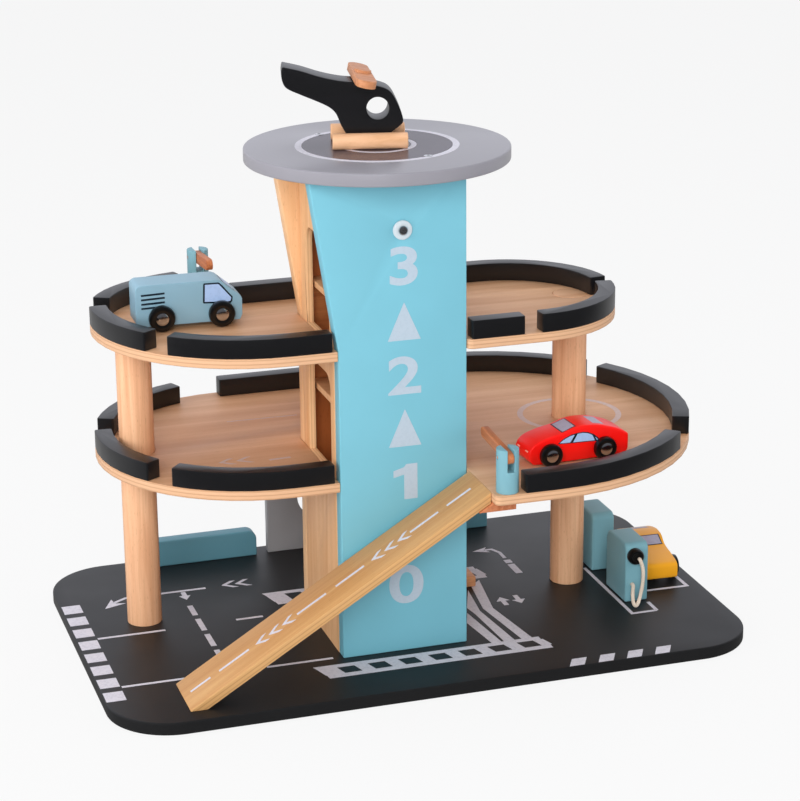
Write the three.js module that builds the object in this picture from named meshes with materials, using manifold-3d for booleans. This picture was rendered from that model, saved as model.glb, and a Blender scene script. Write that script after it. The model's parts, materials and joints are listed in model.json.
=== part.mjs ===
// A wooden toy parking garage: a lift tower, two decks on columns, ramps, fuel pumps, cars and a helicopter.
// Millimetres, X to the right, Y to the back, Z up. The origin is the middle of the base's underside.

import * as THREE from 'three';
import Module from 'manifold-3d';
import { mergeVertices } from 'three/addons/utils/BufferGeometryUtils.js';

const wasm = await Module();
wasm.setup();

// Clearances and facets
const FIT_GAP = 0.3;
const OVERRUN = 2;
const ROUND_FACETS = 24;
const END_FACETS = 6;
const ARC_STEP_DEGREES = 7.5;

// Base, boards and levels
const BASE = { length: 510, width: 321, thickness: 10, corner: 50, ease: 1.5 };
const BOARD = 7.5;
const LEVEL = { lower: 153, upper: 255.5 };

// Lift tower and its doorways
const TOWER = { x: -16, y: -33, width: 100, depth: 113, panel: 12, side: 5, flare: 20.3 };
const DOOR = { shift: -2.5, width: 61, lintel: 18, corner: 12 };
const PAD = { x: -17, radius: 100, thickness: 10, ease: 1, rise: 140.5 };

// Deck outlines: a round lobe on each side of the tower
const LEFT_LOBE = { x: -101.5, radius: 124.5 };
const LOWER_LOBE = { x: 86, y: 2, radius: 158 };
const UPPER_LOBE = { x: 96.5, y: -8, radius: 84 };
const UPPER_REAR = { x: -112, y: 128 };
const DECK_CORNER = 5;
const COLUMN = { radius: 13.7, left: { x: -195.1, y: 33.8 }, right: { x: 154.5, y: 6.1 } };

// Ramps and the wedge under the front ramp's joint
const RAMP = { slope: 31.4, width: 50, lip: 1, towerGap: 5.5, sideGap: 1.5 };
const CLEAT = { thickness: 7.7, reach: 19.3, overhang: 1.5 };

// Kerb rails along the deck edges; a span is given in degrees round its lobe
const RAIL = { width: 13.5, height: 14.5, endGap: 4, corner: 1.5 };
const FRONT_RAIL_START = 57.6;
const SHORT_RAIL_END = 80;
const RAIL_DEGREES = {
  lowerFront: [226.1, 270],
  lowerLeft: [171.5, 216.3],
  lowerRearLeft: [108.4, 159.1],
  lowerBackEnd: 38.6,
  lowerRight: [-27.3, 32.3],
  lowerFrontRight: [-90, -40.3],
  upperFront: [226.3, 270],
  upperLeft: [175.2, 217.5],
  upperRearLeft: [105, 159.2],
  upperBackEnd: 2,
  upperRight: [-92, -6],
};

// Walls and the support panel along the back of the base
const REAR_WALL = { thickness: 12, height: 22.6, corner: 8, backInset: 7.8, length: 97 };
const REAR_WALL_X = { left: -123.7, right: 84.6 };
const SUPPORT = { width: 98, thickness: 7, holeRadius: 22, holeHeight: 48 };

// Fuel pumps, the knob and hose of the front one, and a wheel stop
const PUMP = { x: 190.3, width: 19.6, depth: 41, height: 50, frontEdge: 6, backEdge: 8 };
const PUMP_FRONT_Y = { front: -57.3, rear: 14.3 };
const KNOB = { shift: -2.4, height: 40, radius: 6.5, length: 6 };
const HOSE = { radius: 1.5, sides: 8, steps: 40 };
const HOSE_ROUTE = [
  [189.2, -63.7, 49.3], [189.3, -65.5, 49.1], [190.7, -68, 43], [191, -68.6, 35], [190.4, -68.4, 27],
  [188.6, -68.8, 19], [186.4, -69.8, 13.4], [184.6, -70.2, 11.9], [183.1, -69.6, 13.4], [182.8, -67.8, 17],
  [183.8, -65, 21.5], [185.5, -61.6, 25], [186, -59.5, 25.6], [186, -57.7, 25.7],
];
const STOP = { x: 72, y: 31, length: 34, width: 12, height: 9 };

// Lift cabin, its string, and the winding shaft with its crank
const LIFT = { clearance: 1.5, board: 5, wall: 4, headroom: 76.5, restFloor: 206 };
const STRING = { radius: 0.75, sides: 8 };
const SHAFT = { radius: 5, rise: 88.5 };
const WASHER = { radius: 7.25, thickness: 2 };
const SCREW = { headRadius: 3.6, headHeight: 2.2, shankRadius: 2, shankLength: 12, edge: 0.6 };
const CRANK = { reach: 30, endRadius: 9, thickness: 8, pinRadius: 3.5, knobRadius: 6.5, knobLength: 20 };

// Barriers beside the top of each ramp
const POST = { radius: 8.5, height: 34, slotDepth: 17, pinDrop: 6.5, pinRadius: 1.5, pinInset: 0.6 };
const ARM = { width: 5, height: 8.5, tail: 8.5 };
const FRONT_BARRIER = { x: 46, y: -146.5, reach: 53, tilt: 4 };
const REAR_BARRIER = { x: -123.5, y: 115, reach: 43.5, tilt: 4.5 };

// Helicopter on the pad, turned a little towards the front
const HELI = { x: -21.7, y: -27.9, turn: -14, length: 89.5, height: 56, thickness: 25, lift: 5, tail: 64.5 };
const HELI_HOLE = { shareX: 0.791, shareZ: 0.427, radius: 8.4 };
const HELI_OUTLINE_SHARES = [
  [0, 0.898], [0.009, 1], [0.155, 0.945], [0.318, 0.861], [0.482, 0.802], [0.631, 0.777], [0.793, 0.725],
  [0.892, 0.655], [0.957, 0.48], [1, 0.28], [0.989, 0.212], [0.905, 0.107], [0.832, 0], [0.564, 0],
  [0.525, 0.095], [0.484, 0.218], [0.445, 0.366], [0.396, 0.446], [0.314, 0.516], [0.152, 0.629],
  [0.046, 0.711], [0.0145, 0.779],
];
const SKID = { radius: 6, length: 55.7 };
const ROTOR = { back: 5.4, turn: 3.6, length: 75, width: 15, thickness: 5.5, capRadius: 6.5, capHeight: 2 };
const ROTOR_PIN = { radius: 2, depth: 14, collarRadius: 4, collarHeight: 0.4 };

// Cars: an outline in shares of length and height, from the tail to the nose
const AXLE_RADIUS = 2;
const WHEEL = { thickness: 6, edge: 1, hubRadius: 4, hubRise: 0.8, sideGap: 0.6 };
const VAN = {
  name: 'van', finish: 'blue', x: -153.5, y: 21.9, turn: -1.5, level: LEVEL.upper,
  length: 82.2, height: 32.5, width: 27, groundGap: 3.5, wheelRadius: 10.2, wheelbase: 46.3, tail: 42.2,
  outlineShares: [
    [0.02, 0], [0, 0.09], [0, 0.885], [0.012, 0.956], [0.045, 1], [0.771, 1], [0.805, 0.966],
    [0.985, 0.583], [1, 0.506], [1, 0.128], [0.976, 0],
  ],
};
const RED_CAR_INSET = 66.8;
const RED_CAR = {
  name: 'red_car', finish: 'red', x: 117.3, y: LOWER_LOBE.y - LOWER_LOBE.radius + RED_CAR_INSET, turn: 183.6,
  level: LEVEL.lower, length: 83.2, height: 26.7, width: 27, groundGap: 1.4, wheelRadius: 9.1, wheelbase: 45.4,
  tail: 44.2,
  outlineShares: [
    [0.038, 0], [0.005, 0.119], [0, 0.237], [0, 0.593], [0.069, 0.727], [0.135, 0.818], [0.231, 0.913],
    [0.315, 0.972], [0.411, 1], [0.487, 0.992], [0.549, 0.96], [0.597, 0.909], [0.657, 0.85], [0.757, 0.798],
    [0.862, 0.719], [0.934, 0.632], [0.98, 0.514], [0.998, 0.395], [1, 0.277], [0.993, 0.158], [0.97, 0.047],
    [0.94, 0],
  ],
};
const YELLOW_CAR = {
  name: 'yellow_car', finish: 'yellow', x: 225.2, y: 7, turn: -92.5, level: BASE.thickness,
  length: 80, height: 24.7, width: 27, groundGap: 5.5, wheelRadius: 8.6, wheelbase: 40.5, tail: 39.75,
  outlineShares: [
    [0.03, 0], [0, 0.2], [0.012, 0.45], [0.05, 0.62], [0.11, 0.765], [0.24, 0.91], [0.37, 1],
    [0.46, 0.995], [0.525, 0.95], [0.625, 0.735], [0.795, 0.64], [0.95, 0.54], [0.987, 0.475], [1, 0.38],
    [1, 0.1], [0.99, 0],
  ],
};

// Places worked out from the sizes above
const TOWER_LEFT = TOWER.x - TOWER.width / 2;
const TOWER_RIGHT = TOWER.x + TOWER.width / 2;
const TOWER_FRONT = TOWER.y - TOWER.depth / 2;
const TOWER_BACK = TOWER.y + TOWER.depth / 2;
const PAD_TOP = LEVEL.upper + PAD.rise;
const PAD_UNDERSIDE = PAD_TOP - PAD.thickness;
const SHAFT_HEIGHT = LEVEL.upper + SHAFT.rise;
const LEFT_LOBE_Y = TOWER_FRONT + LEFT_LOBE.radius;
const LOWER_FRONT = LOWER_LOBE.y - LOWER_LOBE.radius;
const UPPER_FRONT = UPPER_LOBE.y - UPPER_LOBE.radius;
const UPPER_BACK = UPPER_LOBE.y + UPPER_LOBE.radius;
const DOOR_HEIGHT = LEVEL.upper - LEVEL.lower - BOARD - DOOR.lintel;
const RAMP_TAN = Math.tan(THREE.MathUtils.degToRad(RAMP.slope));
const RAMP_RISE = BOARD / Math.cos(THREE.MathUtils.degToRad(RAMP.slope));
const FRONT_RAMP_Y = TOWER_FRONT - RAMP.towerGap - RAMP.width / 2;
const REAR_RAMP_Y = UPPER_BACK + RAMP.sideGap + RAMP.width / 2;
const CABIN_LENGTH = TOWER.width - 2 * TOWER.side - 2 * LIFT.clearance;
const CABIN_DEPTH = TOWER.depth - 2 * TOWER.panel - 2 * LIFT.clearance;
const CABIN_ROOF = LIFT.restFloor + LIFT.headroom;
const STRING_X = TOWER.x + SHAFT.radius + FIT_GAP + STRING.radius;
const STRING_START = CABIN_ROOF + LIFT.board + FIT_GAP;
const CRANK_FRONT = TOWER_BACK + FIT_GAP;
const CRANK_BACK = CRANK_FRONT + CRANK.thickness;

const FINISHES = {
  black: { color: 0x2a2a2c, roughness: 0.45, metalness: 0 },
  blue: { color: 0x88cada, roughness: 0.5, metalness: 0 },
  beech: { color: 0xe6b583, roughness: 0.6, metalness: 0 },
  plywood: { color: 0xd2a27d, roughness: 0.65, metalness: 0 },
  grey: { color: 0xb4b2bc, roughness: 0.5, metalness: 0 },
  darkGrey: { color: 0x454547, roughness: 0.5, metalness: 0 },
  white: { color: 0xf2f2ee, roughness: 0.4, metalness: 0 },
  steel: { color: 0xb9b9bb, roughness: 0.3, metalness: 1 },
  cord: { color: 0xe9dccb, roughness: 0.8, metalness: 0 },
  red: { color: 0xff2a20, roughness: 0.4, metalness: 0 },
  yellow: { color: 0xe8a93a, roughness: 0.4, metalness: 0 },
  wheel: { color: 0x161616, roughness: 0.5, metalness: 0 },
};

// Weld a geometry's corners, drop its empty triangles and point its faces out.
function closed(geometry) {
  const bare = geometry.clone();
  bare.deleteAttribute('normal');
  bare.deleteAttribute('uv');
  const welded = mergeVertices(bare);
  const corners = welded.index.array;
  const kept = [];
  for (let i = 0; i < corners.length; i += 3) {
    const [a, b, c] = [corners[i], corners[i + 1], corners[i + 2]];
    if (a !== b && b !== c && c !== a) kept.push(a, b, c);
  }
  if (signedVolume(welded.attributes.position, kept) < 0) kept.reverse();
  welded.setIndex(kept);
  welded.computeVertexNormals();
  return welded;
}

function signedVolume(position, corners) {
  const [a, b, c] = [new THREE.Vector3(), new THREE.Vector3(), new THREE.Vector3()];
  let total = 0;
  for (let i = 0; i < corners.length; i += 3) {
    a.fromBufferAttribute(position, corners[i]);
    b.fromBufferAttribute(position, corners[i + 1]);
    c.fromBufferAttribute(position, corners[i + 2]);
    total += a.dot(b.cross(c));
  }
  return total;
}

function toSolid(geometry) {
  const shape = closed(geometry);
  return new wasm.Manifold(new wasm.Mesh({
    numProp: 3,
    vertProperties: Float32Array.from(shape.attributes.position.array),
    triVerts: Uint32Array.from(shape.index.array),
  }));
}

function fromSolid(solid) {
  const mesh = solid.getMesh();
  const geometry = new THREE.BufferGeometry();
  geometry.setAttribute('position', new THREE.BufferAttribute(Float32Array.from(mesh.vertProperties), 3));
  geometry.setIndex(Array.from(mesh.triVerts));
  return geometry;
}

function cut(geometry, ...tools) {
  return fromSolid(tools.reduce((solid, tool) => solid.subtract(toSolid(tool)), toSolid(geometry)));
}

function join(geometry, ...others) {
  return fromSolid(others.reduce((solid, other) => solid.add(toSolid(other)), toSolid(geometry)));
}

// Make a named mesh with a material of its own.
function piece(name, geometry, finish, x = 0, y = 0, z = 0) {
  const mesh = new THREE.Mesh(closed(geometry), new THREE.MeshStandardMaterial(FINISHES[finish]));
  mesh.name = name;
  mesh.position.set(x, y, z);
  return mesh;
}

function outline(points) {
  return new THREE.Shape(points.map(([x, y]) => new THREE.Vector2(x, y)));
}

function roundedRectangle(width, height, radius) {
  const [x, y] = [width / 2, height / 2];
  const shape = new THREE.Shape();
  shape.moveTo(x - radius, -y);
  shape.absarc(x - radius, radius - y, radius, -Math.PI / 2, 0);
  shape.absarc(x - radius, y - radius, radius, 0, Math.PI / 2);
  shape.absarc(radius - x, y - radius, radius, Math.PI / 2, Math.PI);
  shape.absarc(radius - x, radius - y, radius, Math.PI, Math.PI * 1.5);
  shape.closePath();
  return shape;
}

function ringPoints(x, y, radius, facets) {
  return Array.from({ length: facets }, (_, i) => {
    const angle = (i / facets) * Math.PI * 2;
    return [x + radius * Math.cos(angle), y + radius * Math.sin(angle)];
  });
}

function circle(x, y, radius) {
  return outline(ringPoints(x, y, radius, ROUND_FACETS));
}

// Extrude a plan upwards from Z 0.
function board(shape, thickness, ease = 0) {
  const geometry = new THREE.ExtrudeGeometry(shape, {
    depth: thickness - 2 * ease,
    bevelEnabled: ease > 0,
    bevelThickness: ease,
    bevelSize: ease,
    bevelOffset: -ease,
    bevelSegments: 1,
    curveSegments: END_FACETS,
  });
  return geometry.translate(0, 0, ease);
}

// Extrude an X and Z profile along Y, its middle on Y 0.
function alongY(shape, depth) {
  const geometry = new THREE.ExtrudeGeometry(shape, { depth, bevelEnabled: false, curveSegments: END_FACETS });
  return geometry.translate(0, 0, -depth / 2).rotateX(Math.PI / 2);
}

// Extrude a Y and Z profile along X, its middle on X 0.
function alongX(shape, depth) {
  const geometry = new THREE.ExtrudeGeometry(shape, { depth, bevelEnabled: false, curveSegments: END_FACETS });
  const turn = new THREE.Matrix4().set(0, 0, 1, 0, 1, 0, 0, 0, 0, 1, 0, 0, 0, 0, 0, 1);
  return geometry.translate(0, 0, -depth / 2).applyMatrix4(turn);
}

// Turn a profile of radius and height about Z.
function turned(profile) {
  const points = profile.map(([radius, height]) => new THREE.Vector2(radius, height));
  return new THREE.LatheGeometry(points, ROUND_FACETS).rotateX(Math.PI / 2);
}

function dowel(radius, length) {
  return turned([[0, 0], [radius, 0], [radius, length], [0, length]]);
}

function arcPoints(centreX, centreY, radiusX, radiusY, fromDegrees, toDegrees) {
  const steps = Math.max(1, Math.ceil(Math.abs(toDegrees - fromDegrees) / ARC_STEP_DEGREES));
  return Array.from({ length: steps + 1 }, (_, i) => {
    const angle = THREE.MathUtils.degToRad(fromDegrees + ((toDegrees - fromDegrees) * i) / steps);
    return [centreX + radiusX * Math.cos(angle), centreY + radiusY * Math.sin(angle)];
  });
}

function lobeArc(lobe, inset, fromDegrees, toDegrees) {
  const radius = lobe.radius - inset;
  return arcPoints(lobe.x, lobe.y ?? LEFT_LOBE_Y, radius, radius, fromDegrees, toDegrees);
}

// The flatter rear left edge of the upper deck, a quarter of an ellipse.
function upperRearArc(inset, fromDegrees, toDegrees) {
  const reachX = UPPER_REAR.x - (LEFT_LOBE.x - LEFT_LOBE.radius) - inset;
  const reachY = UPPER_REAR.y - LEFT_LOBE_Y - inset;
  return arcPoints(UPPER_REAR.x, LEFT_LOBE_Y, reachX, reachY, fromDegrees, toDegrees);
}

// The direction, in degrees, of the point where one straight edge touches both lower lobes.
function lowerBackDegrees() {
  const [dx, dy] = [LEFT_LOBE.x - LOWER_LOBE.x, LEFT_LOBE_Y - LOWER_LOBE.y];
  const lean = Math.acos((LOWER_LOBE.radius - LEFT_LOBE.radius) / Math.hypot(dx, dy));
  return THREE.MathUtils.radToDeg(Math.atan2(dy, dx) - lean);
}

// A strip of even width along a line of points. Its ends are round, or flat with small round corners.
function strip(points, width, corner = width / 2) {
  const half = width / 2;
  const back = corner < half ? corner : 0;
  const last = points.length - 1;
  const angleAt = (i) => {
    const before = points[Math.max(0, i - 1)];
    const after = points[Math.min(last, i + 1)];
    return Math.atan2(after[1] - before[1], after[0] - before[0]);
  };
  const end = (i, fromAngle) => Array.from({ length: END_FACETS + 2 }, (_, k) => {
    const share = Math.min(k, END_FACETS / 2) + Math.max(0, k - 1 - END_FACETS / 2);
    const angle = fromAngle + (Math.PI * share) / END_FACETS;
    const across = fromAngle + (k > END_FACETS / 2 ? Math.PI : 0);
    const out = fromAngle + Math.PI / 2;
    return [
      points[i][0] + (half - corner) * Math.cos(across) - back * Math.cos(out) + corner * Math.cos(angle),
      points[i][1] + (half - corner) * Math.sin(across) - back * Math.sin(out) + corner * Math.sin(angle),
    ];
  });
  const side = (i, sign) => {
    const angle = angleAt(i) + (sign * Math.PI) / 2;
    return [points[i][0] + half * Math.cos(angle), points[i][1] + half * Math.sin(angle)];
  };
  const inner = points.map((_, i) => i).slice(1, -1);
  return outline([
    ...end(0, angleAt(0) + Math.PI / 2),
    ...inner.map((i) => side(i, -1)),
    ...end(last, angleAt(last) - Math.PI / 2),
    ...inner.reverse().map((i) => side(i, 1)),
  ]);
}

function baseBoard() {
  const plan = roundedRectangle(BASE.length, BASE.width, BASE.corner);
  return piece('base_board', board(plan, BASE.thickness, BASE.ease), 'black');
}

// Front and back tower panels: upright on the right, flared on the left above the upper deck.
function towerPanel(name, y, finish) {
  const [left, right] = [-TOWER.width / 2, TOWER.width / 2];
  const shape = outline([
    [left, BASE.thickness], [right, BASE.thickness], [right, PAD_UNDERSIDE],
    [left - TOWER.flare, PAD_UNDERSIDE], [left, LEVEL.upper],
  ]);
  shape.holes.push(circle(0, SHAFT_HEIGHT, SHAFT.radius + FIT_GAP));
  return piece(name, alongY(shape, TOWER.panel), finish, TOWER.x, y);
}

// A doorway with round corners in a side panel, as a hole.
function doorway(floor) {
  const hole = new THREE.Path();
  const [near, far] = [DOOR.shift - DOOR.width / 2, DOOR.shift + DOOR.width / 2];
  const [top, radius] = [floor + DOOR_HEIGHT, DOOR.corner];
  hole.moveTo(near, floor);
  hole.lineTo(far, floor);
  hole.absarc(far - radius, top - radius, radius, 0, Math.PI / 2);
  hole.absarc(near + radius, top - radius, radius, Math.PI / 2, Math.PI);
  hole.closePath();
  return hole;
}

function towerSide(name, x, floors) {
  const half = TOWER.depth / 2 - TOWER.panel - FIT_GAP;
  const shape = outline([
    [-half, BASE.thickness], [half, BASE.thickness], [half, PAD_UNDERSIDE], [-half, PAD_UNDERSIDE],
  ]);
  floors.forEach((floor) => shape.holes.push(doorway(floor)));
  return piece(name, alongX(shape, TOWER.side), 'plywood', x, TOWER.y);
}

function tower() {
  const group = new THREE.Group();
  const ground = BASE.thickness + LIFT.board + FIT_GAP;
  const inset = TOWER.panel / 2;
  group.add(
    towerPanel('tower_front_panel', TOWER_FRONT + inset, 'blue'),
    towerPanel('tower_back_panel', TOWER_BACK - inset, 'beech'),
    towerSide('tower_left_side', TOWER_LEFT + TOWER.side / 2, [LEVEL.lower, LEVEL.upper]),
    towerSide('tower_right_side', TOWER_RIGHT - TOWER.side / 2, [ground, LEVEL.lower, LEVEL.upper]),
  );
  return group;
}

function helipadDisc() {
  const { radius, thickness, ease } = PAD;
  const disc = turned([
    [0, 0], [radius - ease, 0], [radius, ease], [radius, thickness - ease], [radius - ease, thickness],
    [0, thickness],
  ]);
  return piece('helipad_disc', disc, 'grey', PAD.x, TOWER.y, PAD_UNDERSIDE);
}

// The notch that lets a deck pass round the tower, from its front left corner to the front right one.
function towerNotch(front) {
  const [left, right] = [TOWER_LEFT - FIT_GAP, TOWER_RIGHT + FIT_GAP];
  return [
    [left, TOWER_FRONT], [left, TOWER_BACK + FIT_GAP], [right, TOWER_BACK + FIT_GAP],
    ...arcPoints(right + DECK_CORNER, front + DECK_CORNER, DECK_CORNER, DECK_CORNER, 180, 270),
  ];
}

function deck(name, points, level) {
  const shape = outline(points);
  [COLUMN.left, COLUMN.right].forEach(({ x, y }) => shape.holes.push(circle(x, y, COLUMN.radius + FIT_GAP)));
  return piece(name, board(shape, BOARD), 'plywood', 0, 0, level - BOARD);
}

function decks() {
  const group = new THREE.Group();
  const back = lowerBackDegrees();
  group.add(
    deck('lower_deck', [
      ...towerNotch(LOWER_FRONT), ...lobeArc(LOWER_LOBE, 0, -90, back), ...lobeArc(LEFT_LOBE, 0, back, 270),
    ], LEVEL.lower),
    deck('upper_deck', [
      ...towerNotch(UPPER_FRONT), ...lobeArc(UPPER_LOBE, 0, -90, 90), [UPPER_REAR.x, UPPER_BACK],
      ...upperRearArc(0, 90, 180), ...lobeArc(LEFT_LOBE, 0, 180, 270).slice(1),
    ], LEVEL.upper),
  );
  return group;
}

// Each column stands on the base, passes the lower deck and ends level with the upper one.
function columns() {
  const group = new THREE.Group();
  Object.entries({ left: COLUMN.left, right: COLUMN.right }).forEach(([side, { x, y }]) => {
    const length = LEVEL.upper - BASE.thickness;
    group.add(piece(`${side}_column`, dowel(COLUMN.radius, length), 'beech', x, y, BASE.thickness));
  });
  return group;
}

// A ramp's profile: its joint at the origin, running down towards -X and cut flat on the floor below.
function rampProfile(drop) {
  const foot = -(drop - RAMP.lip) / RAMP_TAN;
  const heel = -(drop - RAMP_RISE) / RAMP_TAN;
  return outline([[0, 0], [foot, RAMP.lip - drop], [foot, -drop], [heel, -drop], [0, -RAMP_RISE]]);
}

function ramps() {
  const group = new THREE.Group();
  const front = alongY(rampProfile(LEVEL.lower - BASE.thickness), RAMP.width);
  const rear = alongY(rampProfile(LEVEL.upper - LEVEL.lower), RAMP.width).scale(-1, 1, 1);
  const tip = (RAMP_RISE + FIT_GAP - BOARD - CLEAT.thickness) / RAMP_TAN;
  const wedge = outline([
    [FIT_GAP, -BOARD], [0, -RAMP_RISE - FIT_GAP], [tip, -BOARD - CLEAT.thickness],
    [CLEAT.reach, -BOARD - CLEAT.thickness], [CLEAT.reach, -BOARD],
  ]);
  const cleat = alongY(wedge, RAMP.width + 2 * CLEAT.overhang);
  group.add(
    piece('front_ramp', front, 'plywood', TOWER_RIGHT, FRONT_RAMP_Y, LEVEL.lower),
    piece('rear_ramp', rear, 'plywood', UPPER_REAR.x + FIT_GAP, REAR_RAMP_Y, LEVEL.upper),
    piece('front_ramp_cleat', cleat, 'beech', TOWER_RIGHT, FRONT_RAMP_Y, LEVEL.lower),
  );
  return group;
}

function rail(name, points, level) {
  return piece(name, board(strip(points, RAIL.width, RAIL.corner), RAIL.height), 'black', 0, 0, level);
}

function lowerRails() {
  const inset = RAIL.width / 2;
  const back = lowerBackDegrees();
  const front = [TOWER_LEFT - RAIL.endGap, TOWER_FRONT + inset];
  const group = new THREE.Group();
  group.add(
    rail('lower_rail_front', [...lobeArc(LEFT_LOBE, inset, ...RAIL_DEGREES.lowerFront), front], LEVEL.lower),
    rail('lower_rail_left', lobeArc(LEFT_LOBE, inset, ...RAIL_DEGREES.lowerLeft), LEVEL.lower),
    rail('lower_rail_rear_left', lobeArc(LEFT_LOBE, inset, ...RAIL_DEGREES.lowerRearLeft), LEVEL.lower),
    rail('lower_rail_back', [
      ...lobeArc(LEFT_LOBE, inset, back, back).slice(1),
      ...lobeArc(LOWER_LOBE, inset, back, RAIL_DEGREES.lowerBackEnd),
    ], LEVEL.lower),
    rail('lower_rail_right', lobeArc(LOWER_LOBE, inset, ...RAIL_DEGREES.lowerRight), LEVEL.lower),
    rail('lower_rail_front_right', [
      [FRONT_RAIL_START, LOWER_FRONT + inset], ...lobeArc(LOWER_LOBE, inset, ...RAIL_DEGREES.lowerFrontRight),
    ], LEVEL.lower),
  );
  return group;
}

function upperRails() {
  const inset = RAIL.width / 2;
  const frontEnd = [TOWER_LEFT - RAIL.endGap, TOWER_FRONT + inset];
  const group = new THREE.Group();
  group.add(
    rail('upper_rail_front', [...lobeArc(LEFT_LOBE, inset, ...RAIL_DEGREES.upperFront), frontEnd], LEVEL.upper),
    rail('upper_rail_left', lobeArc(LEFT_LOBE, inset, ...RAIL_DEGREES.upperLeft), LEVEL.upper),
    rail('upper_rail_rear_left', upperRearArc(inset, ...RAIL_DEGREES.upperRearLeft), LEVEL.upper),
    rail('upper_rail_back', [
      [UPPER_REAR.x + RAIL.endGap, UPPER_BACK - inset],
      ...lobeArc(UPPER_LOBE, inset, 90, RAIL_DEGREES.upperBackEnd),
    ], LEVEL.upper),
    rail('upper_rail_right', lobeArc(UPPER_LOBE, inset, ...RAIL_DEGREES.upperRight), LEVEL.upper),
    rail('upper_rail_short', [
      [TOWER_RIGHT + RAIL.endGap, UPPER_FRONT + inset],
      [SHORT_RAIL_END, UPPER_FRONT + inset],
    ], LEVEL.upper),
  );
  return group;
}

// A low wall with both top corners rounded.
function rearWall(name, x) {
  const { length, height, corner, thickness } = REAR_WALL;
  const wall = new THREE.Shape();
  wall.moveTo(-length / 2, 0);
  wall.lineTo(length / 2, 0);
  wall.absarc(length / 2 - corner, height - corner, corner, 0, Math.PI / 2);
  wall.absarc(corner - length / 2, height - corner, corner, Math.PI / 2, Math.PI);
  wall.closePath();
  const y = BASE.width / 2 - REAR_WALL.backInset - thickness / 2;
  return piece(name, alongY(wall, thickness), 'blue', x, y, BASE.thickness);
}

function rearSupport() {
  const height = LEVEL.lower - BOARD - BASE.thickness;
  const panel = outline([
    [-SUPPORT.width / 2, 0], [SUPPORT.width / 2, 0], [SUPPORT.width / 2, height], [-SUPPORT.width / 2, height],
  ]);
  panel.holes.push(circle(0, SUPPORT.holeHeight, SUPPORT.holeRadius));
  const y = BASE.width / 2 - REAR_WALL.backInset - REAR_WALL.thickness / 2;
  return piece('rear_support_panel', alongY(panel, SUPPORT.thickness), 'darkGrey', TOWER.x, y, BASE.thickness);
}

function pump(name, frontY) {
  const { depth, height, frontEdge, backEdge } = PUMP;
  const side = new THREE.Shape();
  side.moveTo(0, 0);
  side.lineTo(depth, 0);
  side.absarc(depth - backEdge, height - backEdge, backEdge, 0, Math.PI / 2);
  side.absarc(frontEdge, height - frontEdge, frontEdge, Math.PI / 2, Math.PI);
  side.closePath();
  return piece(name, alongX(side, PUMP.width), 'blue', PUMP.x, frontY, BASE.thickness);
}

function pumpKnob() {
  const knob = piece('pump_knob', dowel(KNOB.radius, KNOB.length), 'black');
  knob.position.set(PUMP.x + KNOB.shift, PUMP_FRONT_Y.front, BASE.thickness + KNOB.height);
  knob.rotation.x = Math.PI / 2;
  return knob;
}

function pumpHose() {
  const route = new THREE.CatmullRomCurve3(HOSE_ROUTE.map((point) => new THREE.Vector3(...point)));
  const ring = outline(ringPoints(0, 0, HOSE.radius, HOSE.sides));
  return piece('pump_hose', new THREE.ExtrudeGeometry(ring, { steps: HOSE.steps, extrudePath: route }), 'cord');
}

function wheelStop() {
  const block = new THREE.BoxGeometry(STOP.width, STOP.length, STOP.height);
  return piece('wheel_stop', block, 'beech', STOP.x, STOP.y, BASE.thickness + STOP.height / 2);
}

function liftCabin() {
  const slab = () => new THREE.BoxGeometry(CABIN_LENGTH, CABIN_DEPTH, LIFT.board);
  const wall = () => new THREE.BoxGeometry(CABIN_LENGTH, LIFT.wall, LIFT.headroom);
  const wallZ = LIFT.restFloor + LIFT.headroom / 2;
  const wallY = CABIN_DEPTH / 2 - LIFT.wall / 2;
  const group = new THREE.Group();
  group.add(
    piece('lift_floor', slab(), 'plywood', TOWER.x, TOWER.y, LIFT.restFloor - LIFT.board / 2),
    piece('lift_roof', slab(), 'plywood', TOWER.x, TOWER.y, CABIN_ROOF + LIFT.board / 2),
    piece('lift_front_wall', wall(), 'plywood', TOWER.x, TOWER.y - wallY, wallZ),
    piece('lift_back_wall', wall(), 'plywood', TOWER.x, TOWER.y + wallY, wallZ),
  );
  return group;
}

function liftString() {
  const thread = new THREE.CylinderGeometry(
    STRING.radius, STRING.radius, SHAFT_HEIGHT - STRING_START, STRING.sides,
  ).rotateX(Math.PI / 2);
  return piece('lift_string', thread, 'cord', STRING_X, TOWER.y, (SHAFT_HEIGHT + STRING_START) / 2);
}

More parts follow.
